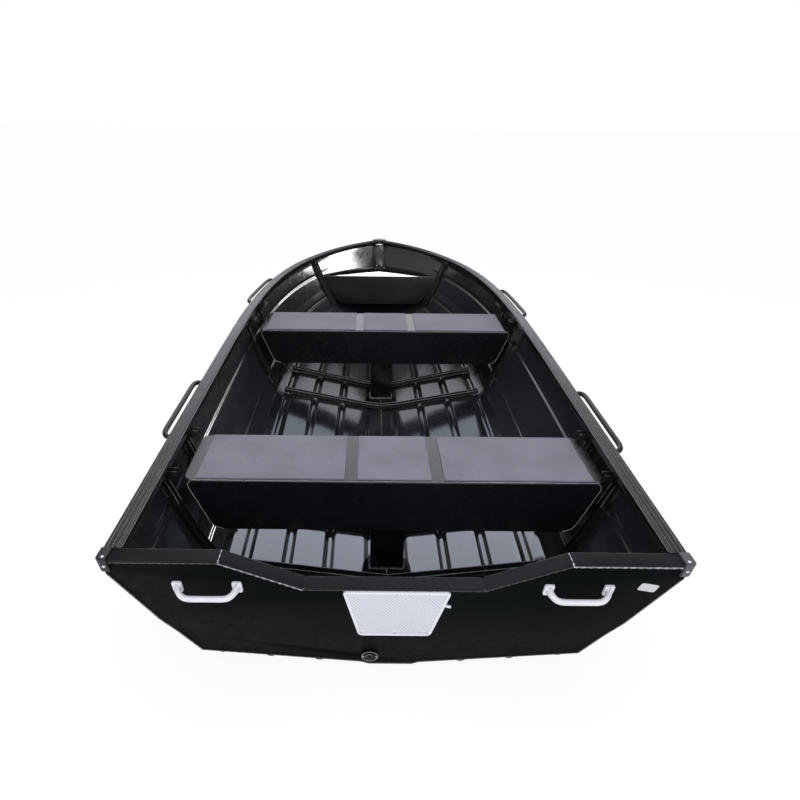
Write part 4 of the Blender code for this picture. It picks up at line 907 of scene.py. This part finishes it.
def gunwale_outer(y):
    """Outer face of the gunwale at distances forward, and its outward direction."""
    x, z = (np.interp(y, gunwale_line[:, 1], gunwale_line[:, axis]) for axis in (0, 2))
    ahead = np.interp(y + 0.01, gunwale_line[:, 1], gunwale_line[:, 0])
    along = unit(np.stack([ahead - x, 0.01 + 0 * x, 0 * x], -1))
    outward = np.stack([along[:, 1], -along[:, 0], 0 * x], -1)
    return np.stack([x, y, z], -1), outward


def build_side_handles():
    """Round bar bent out from the gunwale: shares of its length and reach from a short list, mirrored
    about the middle; each foot is ringed by a weld."""
    half = np.array(side_handle_bend)
    other = half[-2::-1] * (-1, 1, 1) + (1, 0, 0)
    bend = np.concatenate([half, other])
    foot_out = gunwale_width - gunwale_sheet_in + 0.0004
    for place, side_name, start in side_handle_starts:
        side = dict(both_sides)[side_name]
        base, outward = gunwale_outer(start + side_handle_length * bend[:, 0])
        path = base + outward * (foot_out + bend[:, 1:2] * side_handle_reach)
        path += upright * (bend[:, 2:] - side_handle_drop)
        name = "side_handle_" + place + "_" + side_name
        rings = bar(smooth_path(path, 90), upright, side_handle_radius, side_handle_radius, 18)
        add_piece(name + "_bar", tube(mirrored(rings, side)), bar_paint, [name], sharp=50.0)
        welds = []
        for end in (0, -1):
            angle = np.linspace(0.0, 2 * np.pi, 25)[:, None]
            ring = path[end] + outward[end] * 0.0008 + side_handle_radius * side_handle_weld_round * (
                np.cos(angle) * upright + np.sin(angle) * np.cross(outward[end], upright)
            )
            welds.append(bead(mirrored(ring, side), side_handle_weld, outward[end] * (side, 1, 1), 0.004))
        add_piece(name + "_welds", joined(welds), dull_weld)


# Motor pad: ribbed moulded plate
pad_top_half, pad_bottom_half = 0.143, 0.102
pad_top_s, pad_bottom_s = 0.3805, 0.163
motor_pad_x, motor_pad_border, motor_pad_thickness, motor_pad_corner = 0.008, 0.007, 0.006, 0.012
motor_pad_rivets = [
    (-0.127, 0.370), (0.008, 0.373), (0.141, 0.375), (-0.087, 0.174), (0.009, 0.175), (0.100, 0.177),
]
motor_pad_bosses = [(-0.082, 0.187), (0.008, 0.188), (0.090, 0.189)]
motor_pad_ridge_pitch, motor_pad_ridge_height, motor_pad_field_drop = 0.0085, 0.0010, 0.0019
motor_pad_border_rise, motor_pad_boss_rise = 0.001, 0.0007
motor_pad_tab_at, motor_pad_tab_size = (0.1475, 0.3135), (0.0085, 0.0040, 0.0052, 0.0010)
blank_plate_at, blank_plate_turn, blank_plate_size = (0.657, 0.4075), np.radians(-14.0), (0.025, 0.016)


def build_motor_pad():
    """Plate over a trapezoid with rounded corners: u across and v up, height = a border that stands
    proud, a field with fine ridges in two slanting directions, 1 - |sin| of the distance over their
    pitch, and round bosses near its lower edge."""
    u, v = np.meshgrid(np.linspace(-1, 1, 240), np.linspace(0, 1, 190), indexing="xy")
    half = pad_bottom_half + (pad_top_half - pad_bottom_half) * v
    height = pad_top_s - pad_bottom_s
    middle = 0.5 * height
    x, rise, corner, a, b = rounded_plan(u * half, v * height - middle, half, middle, motor_pad_corner)
    s = middle + rise
    edge = np.minimum(half - np.abs(u * half), np.minimum(v, 1 - v) * height)
    edge = np.where(corner, motor_pad_corner * (1 - np.hypot(a, b)).clip(0.0), edge)
    field = smooth_step(edge, motor_pad_border - 0.0006, motor_pad_border + 0.0012)
    slant, counter = (x + 0.75 * s) / 1.25, (x - 0.9 * s) / 1.345
    first_ridge = (1 - np.abs(np.sin(np.pi * slant / motor_pad_ridge_pitch))) ** 1.2
    second_ridge = (1 - np.abs(np.sin(np.pi * counter / motor_pad_ridge_pitch))) ** 1.5
    ridges = np.maximum(first_ridge, 0.85 * second_ridge)
    highest = motor_pad_thickness + motor_pad_border_rise
    top = highest - field * motor_pad_field_drop + field * motor_pad_ridge_height * ridges
    for boss_x, boss_s in motor_pad_bosses:
        away = np.hypot((x + motor_pad_x - boss_x) / 1.4, s + pad_bottom_s - boss_s)
        boss = motor_pad_boss_rise - 0.003 * smooth_step(away, 0.003, 0.0065)
        top = np.maximum(top, motor_pad_thickness + boss)
    # Painted light for the look: 1 on the border, the ridges and the bosses, 0 in the field's grooves, which
    # the look paints in shade; the underside is all 1.
    painted_light_share = np.maximum(1 - field, ridges)
    painted_light_share = np.maximum(painted_light_share, np.clip((top - motor_pad_thickness) / 0.0006, 0.0, 1.0))
    top -= 0.0010 * (1 - smooth_step(edge, 0.0, 0.0016))
    top = np.minimum(top, highest)
    place = (motor_pad_x + x, pad_bottom_s + s)
    shell = sheet(on_transom(*place, top), on_transom(*place, seam_gap))
    both = np.concatenate([painted_light_share.ravel(), np.ones(painted_light_share.size)])
    add_piece("motor_pad_moulding", shell, plate_white_shaded_grooves, ["motor_pad"], 60.0, both)
    tab = rounded_slab(
        on_transom(*motor_pad_tab_at, seam_gap), unit(across - 0.35 * transom_up), transom_up, transom_out,
        *motor_pad_tab_size, 24,
    )
    add_piece("motor_pad_tab", tab, cast_white)
    heads = on_transom(*np.array(motor_pad_rivets).T, motor_pad_thickness + 0.0002)
    add_piece("motor_pad_rivets", rivets(heads, transom_out, 0.0042, 0.0006), rivet_metal)


def build_blank_plate():
    """Blank plate at the right of the transom: a low slab, slightly turned."""
    centre = on_transom(*blank_plate_at, seam_gap)
    first = np.cos(blank_plate_turn) * across + np.sin(blank_plate_turn) * transom_up
    second = np.cross(transom_out, first)
    shell = rounded_slab(centre, first, second, transom_out, *blank_plate_size, 0.0006, 0.0003)
    add_piece("blank_plate", shell, label_blank)


# Drain
drain_x, drain_s = -0.061, 0.046
drain_bore, drain_collar, drain_flange = 0.0105, 0.0145, 0.0250
drain_flange_top, drain_collar_top, drain_screw_reach = 0.0045, 0.0070, 0.0195


def build_drain():
    """Flange and plug turned about the normal of the transom's lower part, their profiles bent at each
    corner; pale lines round the flange's rim and part of its collar are painted highlights on those edges."""
    out = np.array([0.0, -np.cos(transom_lower_rake), -np.sin(transom_lower_rake)])
    up = np.array([0.0, -np.sin(transom_lower_rake), np.cos(transom_lower_rake)])
    z = drain_s * np.cos(transom_lower_rake)
    centre = np.array([drain_x, float(transom_y(z)) - transom_thickness, z])
    flange = [
        (drain_bore, -0.012), (0.0130, -0.012), (0.0130, seam_gap), (drain_flange, seam_gap),
        (drain_flange, 0.0032), (drain_flange - 0.0025, drain_flange_top),
        (drain_collar + 0.001, drain_flange_top), (drain_collar - 0.0005, drain_collar_top),
        (drain_bore, drain_collar_top),
    ]
    rings = turned(soften(flange, 0.0006, 2, closed=True), centre, out, up, 48)
    rows, cols = rings.shape[:2]
    closed = np.concatenate([rings, rings[:1]]).reshape(-1, 3)
    shell = closed, [quads(rows + 1, cols, around=True)]
    add_piece("drain_flange_turned", shell, drain_black, ["drain_flange"], sharp=50.0)
    plug = [
        (0.0001, -0.010), (0.0092, -0.010), (0.0102, -0.009), (0.0102, 0.006), (0.0090, 0.0065),
        (0.0052, 0.0065), (0.0045, 0.0110), (0.0001, 0.0112),
    ]
    shell = tube(turned(soften(plug, 0.0008, 2), centre, out, up, 40))
    add_piece("drain_plug_turned", shell, plug_black, ["drain_plug"], sharp=50.0)
    # Painted highlights: pale lines round the flange's rim and along part of its collar.
    angle = np.linspace(0.0, 2 * np.pi, 61)[:, None]
    spokes = np.cos(angle) * across + np.sin(angle) * up
    rim = painted_highlight_line(centre + out * 0.0042 + spokes * drain_flange * 0.965, 0.0009, out, 0.02)
    lip = centre + out * drain_collar_top
    collar = painted_highlight_line(lip + spokes[8:30] * drain_collar, 0.0006, out, 0.02)
    add_piece("drain_edges", joined([rim, collar]), edge_highlight_grey)
    face = centre + out * drain_flange_top
    heads = [face + across * reach for reach in (-drain_screw_reach, drain_screw_reach)]
    add_piece("drain_screws", rivets(heads, out, 0.0030, 0.0012), rivet_metal)


# Welds and rivets
cap_weld_pitch, cap_weld_ripple, cap_weld_gap = 0.0056, 0.62, 0.0012
foot_weld_radius, foot_weld_pitch, foot_weld_inset = 0.0020, 0.007, 0.0045
chine_weld_radius, chine_weld_pitch = 0.0018, 0.009


def mitred_line(distance):
    """The cap's line along the transom, moved up in its own plane by a distance, corners mitred."""
    line = np.array([(-x, s) for x, s in cap_points] + [(x, s) for x, s in reversed(cap_points)])
    step = unit(np.diff(line, axis=0))
    return line + mitres(np.stack([-step[:, 1], step[:, 0]], 1)) * distance


def build_transom_welds():
    """Beads along the cap's lower edge, over its mitres and along the transom's foot, and a pale line
    along the cap's fore edge, a painted highlight."""
    low = mitred_line(-cap_flange - cap_weld_gap)
    face = on_transom(low[:, 0], low[:, 1], cap_weld_gap)
    runs = (
        ("port_outer", 0.0022, dull_weld), ("port_slant", 0.0026, bright_weld), ("middle", 0.0014, dull_weld),
        ("starboard_slant", 0.0018, dull_weld), ("starboard_outer", 0.0030, bright_weld),
    )
    for run, (name, radius, look) in enumerate(runs):
        shell = bead(face[run : run + 2], radius, transom_out, cap_weld_pitch, ripple=cap_weld_ripple)
        add_piece("cap_weld_" + name, shell, look)
    line, foot = mitred_line(0.0), mitred_line(-cap_flange)
    inward = forward * cap_depth
    corner_welds = ((0.0015, bright_weld), (0.0010, dull_weld), (0.0010, dull_weld), (0.0015, bright_weld))
    for corner, (radius, look) in enumerate(corner_welds, 1):
        start = on_transom(*line[corner], plate + seam_gap)
        path = [start + inward, start, on_transom(*foot[corner], plate + seam_gap)]
        shell = bead(path, radius, transom_out + upright, 0.006, 0.5, ripple=0.5)
        add_piece("cap_mitre_weld_%d" % corner, shell, look)
    # Painted highlight: a pale line along the cap's fore edge.
    fore_edge = on_transom(line[:, 0], line[:, 1], plate + seam_gap) + inward
    shells = [painted_highlight_line(fore_edge[run : run + 2], 0.0009) for run in range(5)]
    add_piece("cap_fore_edge", joined(shells), highlight_line_grey)
    outline = plain_outer[0][:, [0, 2]]
    outline = outline[outline[:, 1] < sheer_table[0][2] - corner_drop - 0.01]
    inside = outline + unit(np.array([0.0, 0.25]) - outline) * foot_weld_inset
    points = np.stack([inside[:, 0], transom_y(inside[:, 1]) - transom_thickness - 0.0002, inside[:, 1]], 1)
    whole = np.concatenate([mirrored(points[::-1], -1.0), points[1:]])
    add_piece("transom_foot_weld", bead(whole, foot_weld_radius, transom_out, foot_weld_pitch), dull_weld)


def build_hull_welds():
    """Beads outside along the chines."""
    chine = plain_outer[1:-1, chine_column] + np.array([-0.0006, 0.0, -0.0002])
    for side_name, side in both_sides:
        out = np.array([side, 0.0, -0.6])
        shell = bead(mirrored(chine, side), chine_weld_radius, out, chine_weld_pitch, sides=6)
        add_piece("chine_weld_" + side_name, shell, dull_weld)


rib_width, frame_width, frame_height, rib_depth = 0.028, 0.030, 0.022, 0.022
rib_inset = plate + seam_gap + 0.5 * rib_width
rib_stations = {}
for seat_name, (seat_aft, seat_width, *_) in seat_table.items():
    rib_stations[seat_name + "_seat_aft"] = seat_aft + rib_inset
    rib_stations[seat_name + "_seat_fore"] = seat_aft + seat_width - rib_inset
rib_stations["bow"] = deck_aft - seam_gap - 0.5 * rib_width
frame_stations = {
    "aft_seat_aft": 0.350, "aft_seat_fore": 0.645, "fore_seat_aft": 1.800, "fore_seat_fore": 2.095,
}
# Distance of each seat's post forward from the seat's aft face, and its weld's half width and reach forward
post_setback, post_weld_half, post_weld_reach = {"aft": 0.118, "fore": 0.141}, 0.0605, 0.080
# Columns of the hull's section that a rib lies on: chine, knuckle and shoulder
rib_columns = [chine_column, chine_column + 5, -2]
# A rib's rivets: lower or upper run, and share of it
rib_rivets = ((0, 0.45), (0, 0.85), (1, 0.30), (1, 0.72))
rib_weld_radius, rib_weld_pitch, rib_weld_lift = 0.0024, 0.006, 0.0018
# A rib's welds: distance from the end of its run, and length
rib_foot_weld, rib_head_weld = (0.045, 0.05), (0.02, 0.045)
# Painted highlight down each rib's edges: share of the upper run where it starts, and how far short of the
# top it ends.
rib_highlight_from, rib_highlight_short = 0.55, 0.012
# Shares of the way from the chine to the keel plank at which a frame's painted highlight line and its lugs
# start
frame_highlight_from, frame_lug_from, frame_lug_length, frame_end_half = 0.085, 0.075, 0.026, 0.013
# Radii of the painted highlight line, of the dark foot bead that paints shade in the gap over the pressings,
# and of the lugs and the end welds.
frame_highlight_radius, frame_shade_seam_radius, frame_lug_radius, frame_end_radius = 0.0018, 0.0042, 0.0034, 0.0050
# Shares and inset of the seats' rivets, and inset of their painted highlight lines.
seat_rivet_shares, seat_rivet_inset, seat_highlight_inset = (0.22, 0.50, 0.78), 0.014, 0.0012


def build_rib_details():
    """Pale rivets up each rib's back, lumps of weld at its foot and head, and pale lines down its upper
    half, painted highlights on its edges. Each weld lies on the hull's own section at that edge of the rib."""
    heads, normals, lumps, edges = [], [], [], []
    for y in rib_stations.values():
        base = section_at(y)[rib_columns]
        way = unit(np.diff(base, axis=0))
        inward = np.stack([-way[:, 2], 0 * way[:, 0], way[:, 0]], 1)
        for run, share in rib_rivets:
            point = base[run] + (base[run + 1] - base[run]) * share + inward[run] * 0.0030
            heads += [mirrored(point, side) for _, side in both_sides]
            normals += [mirrored(inward[run], side) for _, side in both_sides]
        top = base[1:] + inward[1] * (rib_depth + 0.0004)
        # Painted highlight line along the rib's upper run.
        line = np.array([top[0] + (top[1] - top[0]) * rib_highlight_from, top[1] - way[1] * rib_highlight_short])
        for edge in (-1, 1):
            near = section_at(y + edge * (0.5 * rib_width + 0.0006))[rib_columns]
            foot = near[0] + way[0] * rib_foot_weld[0] + inward[0] * rib_weld_lift
            head = near[2] - way[1] * rib_head_weld[0] + inward[1] * rib_weld_lift
            for path in ((foot, foot + way[0] * rib_foot_weld[1]), (head - way[1] * rib_head_weld[1], head)):
                lumps += twins(bead, path, rib_weld_radius, edge * forward, rib_weld_pitch)
            edges += twins(painted_highlight_line, line + forward * edge * (0.5 * rib_width - 0.001), 0.0012)
    add_piece("rib_edges", joined(edges), edge_highlight_grey)
    add_piece("rib_rivets", rivets(heads, np.array(normals), 0.0042, 0.0016), rivet_metal)
    add_piece("rib_welds", joined(lumps), dull_weld)


def build_frame_details():
    """Along each floor frame a pale line on both edges, a painted highlight, and at both feet a dark bead in
    the frame's paint that fills the gap over the pressings, painted shade; lugs of weld at its ends, and
    beads round the feet of the posts."""
    lumps, edge_highlights, shade_seams, feet = [], [], [], []
    for y in frame_stations.values():
        section = section_at(y)
        chine, root = section[chine_column], section[2]
        raised = upright * (frame_height + 0.0006)
        tip = chine + (root - chine) * frame_highlight_from + upright * frame_height
        half = np.array([root + raised, tip])
        line = np.concatenate([mirrored(half[::-1], -1.0), [section[0] * (0, 1, 1) + raised], half])
        # Each edge gets a pale line, a painted highlight, and a dark bead at its foot, painted shade over the
        # pressings.
        for edge in (-0.5, 0.5):
            offset = forward * edge * (frame_width - 0.0025)
            edge_highlights.append(painted_highlight_line(line + offset, frame_highlight_radius))
            foot = offset * 1.06 - upright * (frame_height - 0.0035)
            shade_seams.append(painted_highlight_line(line + foot, frame_shade_seam_radius, step=0.02))
        end = chine + (root - chine) * frame_lug_from
        way = unit(root - end)
        for edge in (-1, 1):
            start = end + (0.0, edge * (0.5 * frame_width + 0.0008), 0.0012)
            lug = (start, start + way * frame_lug_length)
            lumps += twins(bead, lug, frame_lug_radius, pitch=0.007, ripple=0.4)
        middle = end - way * 0.0012 + upright * 0.003
        lug = (middle - forward * frame_end_half, middle + forward * frame_end_half)
        lumps += twins(bead, lug, frame_end_radius, pitch=0.008, ripple=0.4)
    add_piece("frame_welds", joined(lumps), bright_weld)
    add_piece("frame_edges", joined(edge_highlights), edge_highlight_grey)
    add_piece("frame_seams", joined(shade_seams), frame_paint)
    for name, setback in post_setback.items():
        near = seat_table[name][0] + setback
        z = float(section_at(near)[0, 2]) + 0.0042
        half, reach = post_weld_half, post_weld_reach
        plan = [(-half, reach), (-half, -0.0005), (half, -0.0005), (half, reach)]
        path = [(x, near + y, z) for x, y in plan]
        feet.append(bead(path, 0.0038, pitch=0.0085, ripple=0.45))
    add_piece("post_welds", joined(feet), bright_weld)


def build_seat_details():
    """Pale lines round the ends of the seats' faces and along their top folds, painted highlights where
    those edges catch the light, and rivets where the sheet is held to the ribs."""
    edges, heads, normals = [], [], []
    for aft, width, top, aft_half, fore_half, bottom, bottom_half, middle in seat_table.values():
        rows = [(bottom + up, cut) for _, up, cut in seat_lower_edge[1:]]
        rows += [(top + up, cut) for _, up, cut in seat_upper_edge[:4]]
        height, cut = np.array(rows).T
        for face, top_half, out in ((aft, aft_half, -1.0), (aft + width, fore_half, 1.0)):
            reach = bottom_half + (top_half - bottom_half) * (height - bottom) / (top - bottom)
            reach = reach - cut - seat_highlight_inset
            for side in (-1.0, 1.0):
                path = np.stack([middle + side * reach, 0 * height + face + 0.0002 * out, height], 1)
                edges.append(painted_highlight_line(path, 0.0013, forward, 0.02))
            ends = (middle - aft_half + 0.02, middle + aft_half - 0.02)
            path = [(x, face - 0.0012 * out, top - 0.0008) for x in ends]
            edges.append(painted_highlight_line(path, 0.0009, step=0.05))
            for share in seat_rivet_shares:
                half = bottom_half + (aft_half - bottom_half) * share - seat_rivet_inset
                z = bottom + (top - bottom) * share
                heads += [(middle - half, face, z), (middle + half, face, z)]
                normals += [(0.0, out, 0.0)] * 2
    add_piece("seat_edges", joined(edges), edge_highlight_grey)
    add_piece("seat_rivets", rivets(heads, np.array(normals), 0.0040, 0.0012), bar_paint)


# Bow
def build_bow_details():
    """Rivets down both edges of the bow panel."""
    heads = []
    for share in panel_rivet_shares:
        z = deck_height - panel_height * (1 - share)
        half = panel_foot_half + panel_spread * share - panel_rivet_inset
        heads += [(half, deck_aft, z), (-half, deck_aft, z)]
    add_piece("bow_panel_rivets", rivets(heads, -forward, 0.0038, 0.0012), bar_paint)


def dress_solids():
    """The flat-folded solids with their edges eased, each in its own paint."""
    # Start of the name, paint, width of the bevel, its segments, smallest angle
    forms = [
        ("rib_", rib_paint, 0.0008), ("floor_frame_", frame_paint, 0.0010),
        ("seat_post_", seat_paint, 0.0010),
        ("transom_plate", transom_paint, 0.0008, 2, 40.0), ("transom_cap", cap_paint, 0.0010, 3),
        ("bow_deck", deck_paint, 0.0010, 3), ("bow_cap", trim_paint, 0.0008),
        ("inner_stem", side_paint, 0.0008), ("stem_bar", side_paint, 0.0008, 2, 35.0),
        # Lit and shaded copies of one moulding: painted light on the starboard end cap, painted shade on the
        # port one.
        ("gunwale_end_cap_starboard", cap_lit_grey, 0.0055, 4, 12.0),
        ("gunwale_end_cap_port", cap_shaded_dark, 0.0030, 4, 12.0),
    ]
    for start, *form in forms:
        for name in [name for name in nodes if name.startswith(start)]:
            eased_copy(name, *form)


def build_end_cap_rivets():
    """Two pale rivets on top and aft of each moulded corner."""
    low, high = (np.array(corner) - boat_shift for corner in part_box("gunwale_end_cap_starboard"))
    z = high[2] - 0.028
    places = np.array([
        (low[0] + 0.010, low[1] + 0.012, high[2]), (low[0] + 0.010, float(transom_y(z)) - 0.0123, z),
    ])
    heads = np.concatenate([mirrored(places, side) for _, side in both_sides])
    normals = np.array([upright, transom_out] * 2)
    add_piece("end_cap_rivets", rivets(heads, normals, 0.0042, 0.0013), cast_white)


# Camera, light and floor
photo_width = 800
focal_pixels = 620.8
centre_column, centre_row = 368.3, 435.8
sensor = 36.0
camera_place = (-0.0725, -3.0024, 1.4796)
camera_pitch, camera_yaw, camera_roll = 0.4821, 0.0009, 0.0097


def aim_camera():
    """Camera turned by yaw, then down by pitch, then about its own axis by roll; its shift puts the lens
    axis at the photograph's own centre."""
    cam = bpy.data.cameras.new("photo_camera")
    cam.sensor_width = sensor
    cam.lens = focal_pixels * sensor / photo_width
    cam.shift_x = (0.5 * photo_width - centre_column) / photo_width
    cam.shift_y = (centre_row - 0.5 * photo_width) / photo_width
    cam.clip_start = 0.05
    cam.clip_end = 200.0
    ahead = np.sin(camera_yaw) * across + np.cos(camera_yaw) * forward
    ahead = np.cos(camera_pitch) * ahead - np.sin(camera_pitch) * upright
    level = np.cos(camera_yaw) * across - np.sin(camera_yaw) * forward
    raised = np.cross(level, ahead)
    right = level * np.cos(camera_roll) + raised * np.sin(camera_roll)
    up = raised * np.cos(camera_roll) - level * np.sin(camera_roll)
    turned_by = Matrix.Identity(4)
    for row in range(3):
        turned_by[row][:] = (right[row], up[row], -ahead[row], camera_place[row])
    obj = bpy.data.objects.new("photo_camera", cam)
    obj.matrix_world = turned_by
    bpy.context.scene.collection.objects.link(obj)
    bpy.context.scene.camera = obj


def seen_rays(tree):
    """1 for rays from the camera, a mirror or clear glass."""
    path = node(tree, "LightPath", {})
    either = maths(tree, "MAXIMUM", path["Is Camera Ray"], path["Is Glossy Ray"])
    return maths(tree, "MAXIMUM", either, path["Is Transmission Ray"])


def set_world():
    """White to the eye; in the gloss white at the horizon and dimmer overhead, as in a hall with white
    walls; lit evenly for matt surfaces."""
    world = bpy.data.worlds.new("hall")
    world.use_nodes = True
    tree = world.node_tree
    back = tree.nodes["Background"].inputs
    height = node(tree, "SeparateXYZ", {"Vector": node(tree, "TexCoord", {})["Generated"]})["Z"]
    gloss = span(tree, height, 1.0, 0.30, 0.12, 0.70)
    seen = maths(tree, "MAXIMUM", gloss, node(tree, "LightPath", {})["Is Camera Ray"])
    mixed = node(tree, "Mix", {0: seen_rays(tree), 2: 0.60, 3: seen})
    tree.links.new(mixed[0], back["Strength"])
    back["Color"].default_value = (1.0, 1.0, 1.0, 1.0)
    bpy.context.scene.world = world


def add_lamp(name, place, aim, size, brightness, colour=(1.0, 1.0, 1.0), only=()):
    """Soft box, whose power is its brightness times pi times its area; its light falls on the named
    pieces alone, where there are any."""
    lamp = bpy.data.lights.new(name, "AREA")
    lamp.shape = "RECTANGLE"
    lamp.size, lamp.size_y = size
    lamp.energy = brightness * np.pi * size[0] * size[1]
    lamp.color = colour
    obj = bpy.data.objects.new(name, lamp)
    obj.location = place
    obj.rotation_mode = "QUATERNION"
    obj.rotation_quaternion = (Vector(aim) - Vector(place)).to_track_quat("-Z", "Y")
    obj.visible_camera = False
    bpy.context.scene.collection.objects.link(obj)
    if only:
        group = bpy.data.collections.new(name + "_pieces")
        for piece in only:
            group.objects.link(bpy.data.objects[piece])
        obj.light_linking.receiver_collection = group
    return obj


def set_light():
    """Soft boxes: one overhead and one behind the camera for form. The others show only in the gloss of
    the paint, as the hall's windows beyond the bow, its side window and its ceiling tubes do, four of
    them on some pieces alone."""
    floors = ["hull_bottom_port_sheet", "hull_bottom_starboard_sheet"]
    seat_face = seat_table["fore"][0] + boat_shift[1] - 0.006
    white, pale_blue = (1.0, 1.0, 1.0), (0.84, 0.91, 1.0)
    sky_blue, cool_blue = (0.74, 0.82, 1.0), (0.74, 0.84, 1.0)
    glow_place, glow_aim = (0.0, seat_face, 0.335), (0.0, seat_face - 1.0, 0.25)
    # Name, place, aim, size, brightness, colour, pieces that it lights
    form_boxes = [
        ("overhead_box", (0.3, -0.6, 4.2), (0.0, 0.0, 0.0), (5.0, 5.0), 1.10),
        ("stern_box", (0.0, -6.0, 2.4), (0.0, -1.6, 0.3), (4.0, 2.0), 2.8),
    ]
    gloss_boxes = [
        ("bow_box", (0.0, 7.2, 4.6), (0.0, 0.2, 0.0), (8.0, 6.5), 1.0, pale_blue),
        ("deck_box", (0.4, 7.0, 6.4), (0.0, 1.4, 0.45), (3.4, 3.2), 14.0, white, ["eased_bow_deck"]),
        ("high_box", (0.0, 7.0, 6.6), (0.0, -1.2, 0.0), (8.0, 2.6), 4.0, sky_blue, floors),
        ("seat_face_glow", glow_place, glow_aim, (1.0, 0.22), 1.9, cool_blue, floors),
        ("side_box", (4.3, 2.8, 1.7), (-0.28, 1.45, 0.55), (7.0, 1.8), 30.0, white, ["hull_side_port_sheet"]),
        ("tube_port", (-1.3, 0.0, 4.0), (-1.3, 0.0, 0.0), (0.3, 6.0), 9.0),
        ("tube_starboard", (1.3, 0.0, 4.0), (1.3, 0.0, 0.0), (0.3, 6.0), 9.0),
    ]
    for box in form_boxes:
        add_lamp(*box)
    for box in gloss_boxes:
        add_lamp(*box).visible_diffuse = False


def lay_floor():
    """White floor: mostly its own white for seen rays, the rest lit, so that the boat's soft shadow
    stays."""
    mesh = bpy.data.meshes.new("floor")
    half = 60.0
    corners = [(-half, -half, 0), (half, -half, 0), (half, half, 0), (-half, half, 0)]
    mesh.from_pydata(corners, [], [(0, 1, 2, 3)])
    floor = bpy.data.objects.new("floor", mesh)
    floor.location = (0, 0, -0.0005)
    look, tree, _ = start_look("floor_white", 0.95, 0.0)
    shader = tree.nodes["Principled BSDF"]
    shader.inputs["Base Color"].default_value = (0.90, 0.90, 0.90, 1.0)
    white = node(tree, "Emission", {"Strength": 1.04})[0]
    share = maths(tree, "MULTIPLY", seen_rays(tree), 0.88)
    both = node(tree, "MixShader", {0: share, 1: shader.outputs[0], 2: white})[0]
    tree.links.new(both, tree.nodes["Material Output"].inputs["Surface"])
    mesh.materials.append(look)
    bpy.context.scene.collection.objects.link(floor)


build_hull()
build_gunwales()
for seat_name in seat_table:
    build_seat(seat_name)
    for pad_name in pad_edges:
        build_pad(seat_name, pad_name)
dress_solids()
build_transom_handles()
build_side_handles()
build_motor_pad()
build_blank_plate()
build_drain()
build_transom_welds()
build_hull_welds()
build_rib_details()
build_frame_details()
build_seat_details()
build_bow_details()
build_end_cap_rivets()

aim_camera()
set_world()
set_light()
lay_floor()

scene = bpy.context.scene
scene.view_settings.view_transform = "Standard"
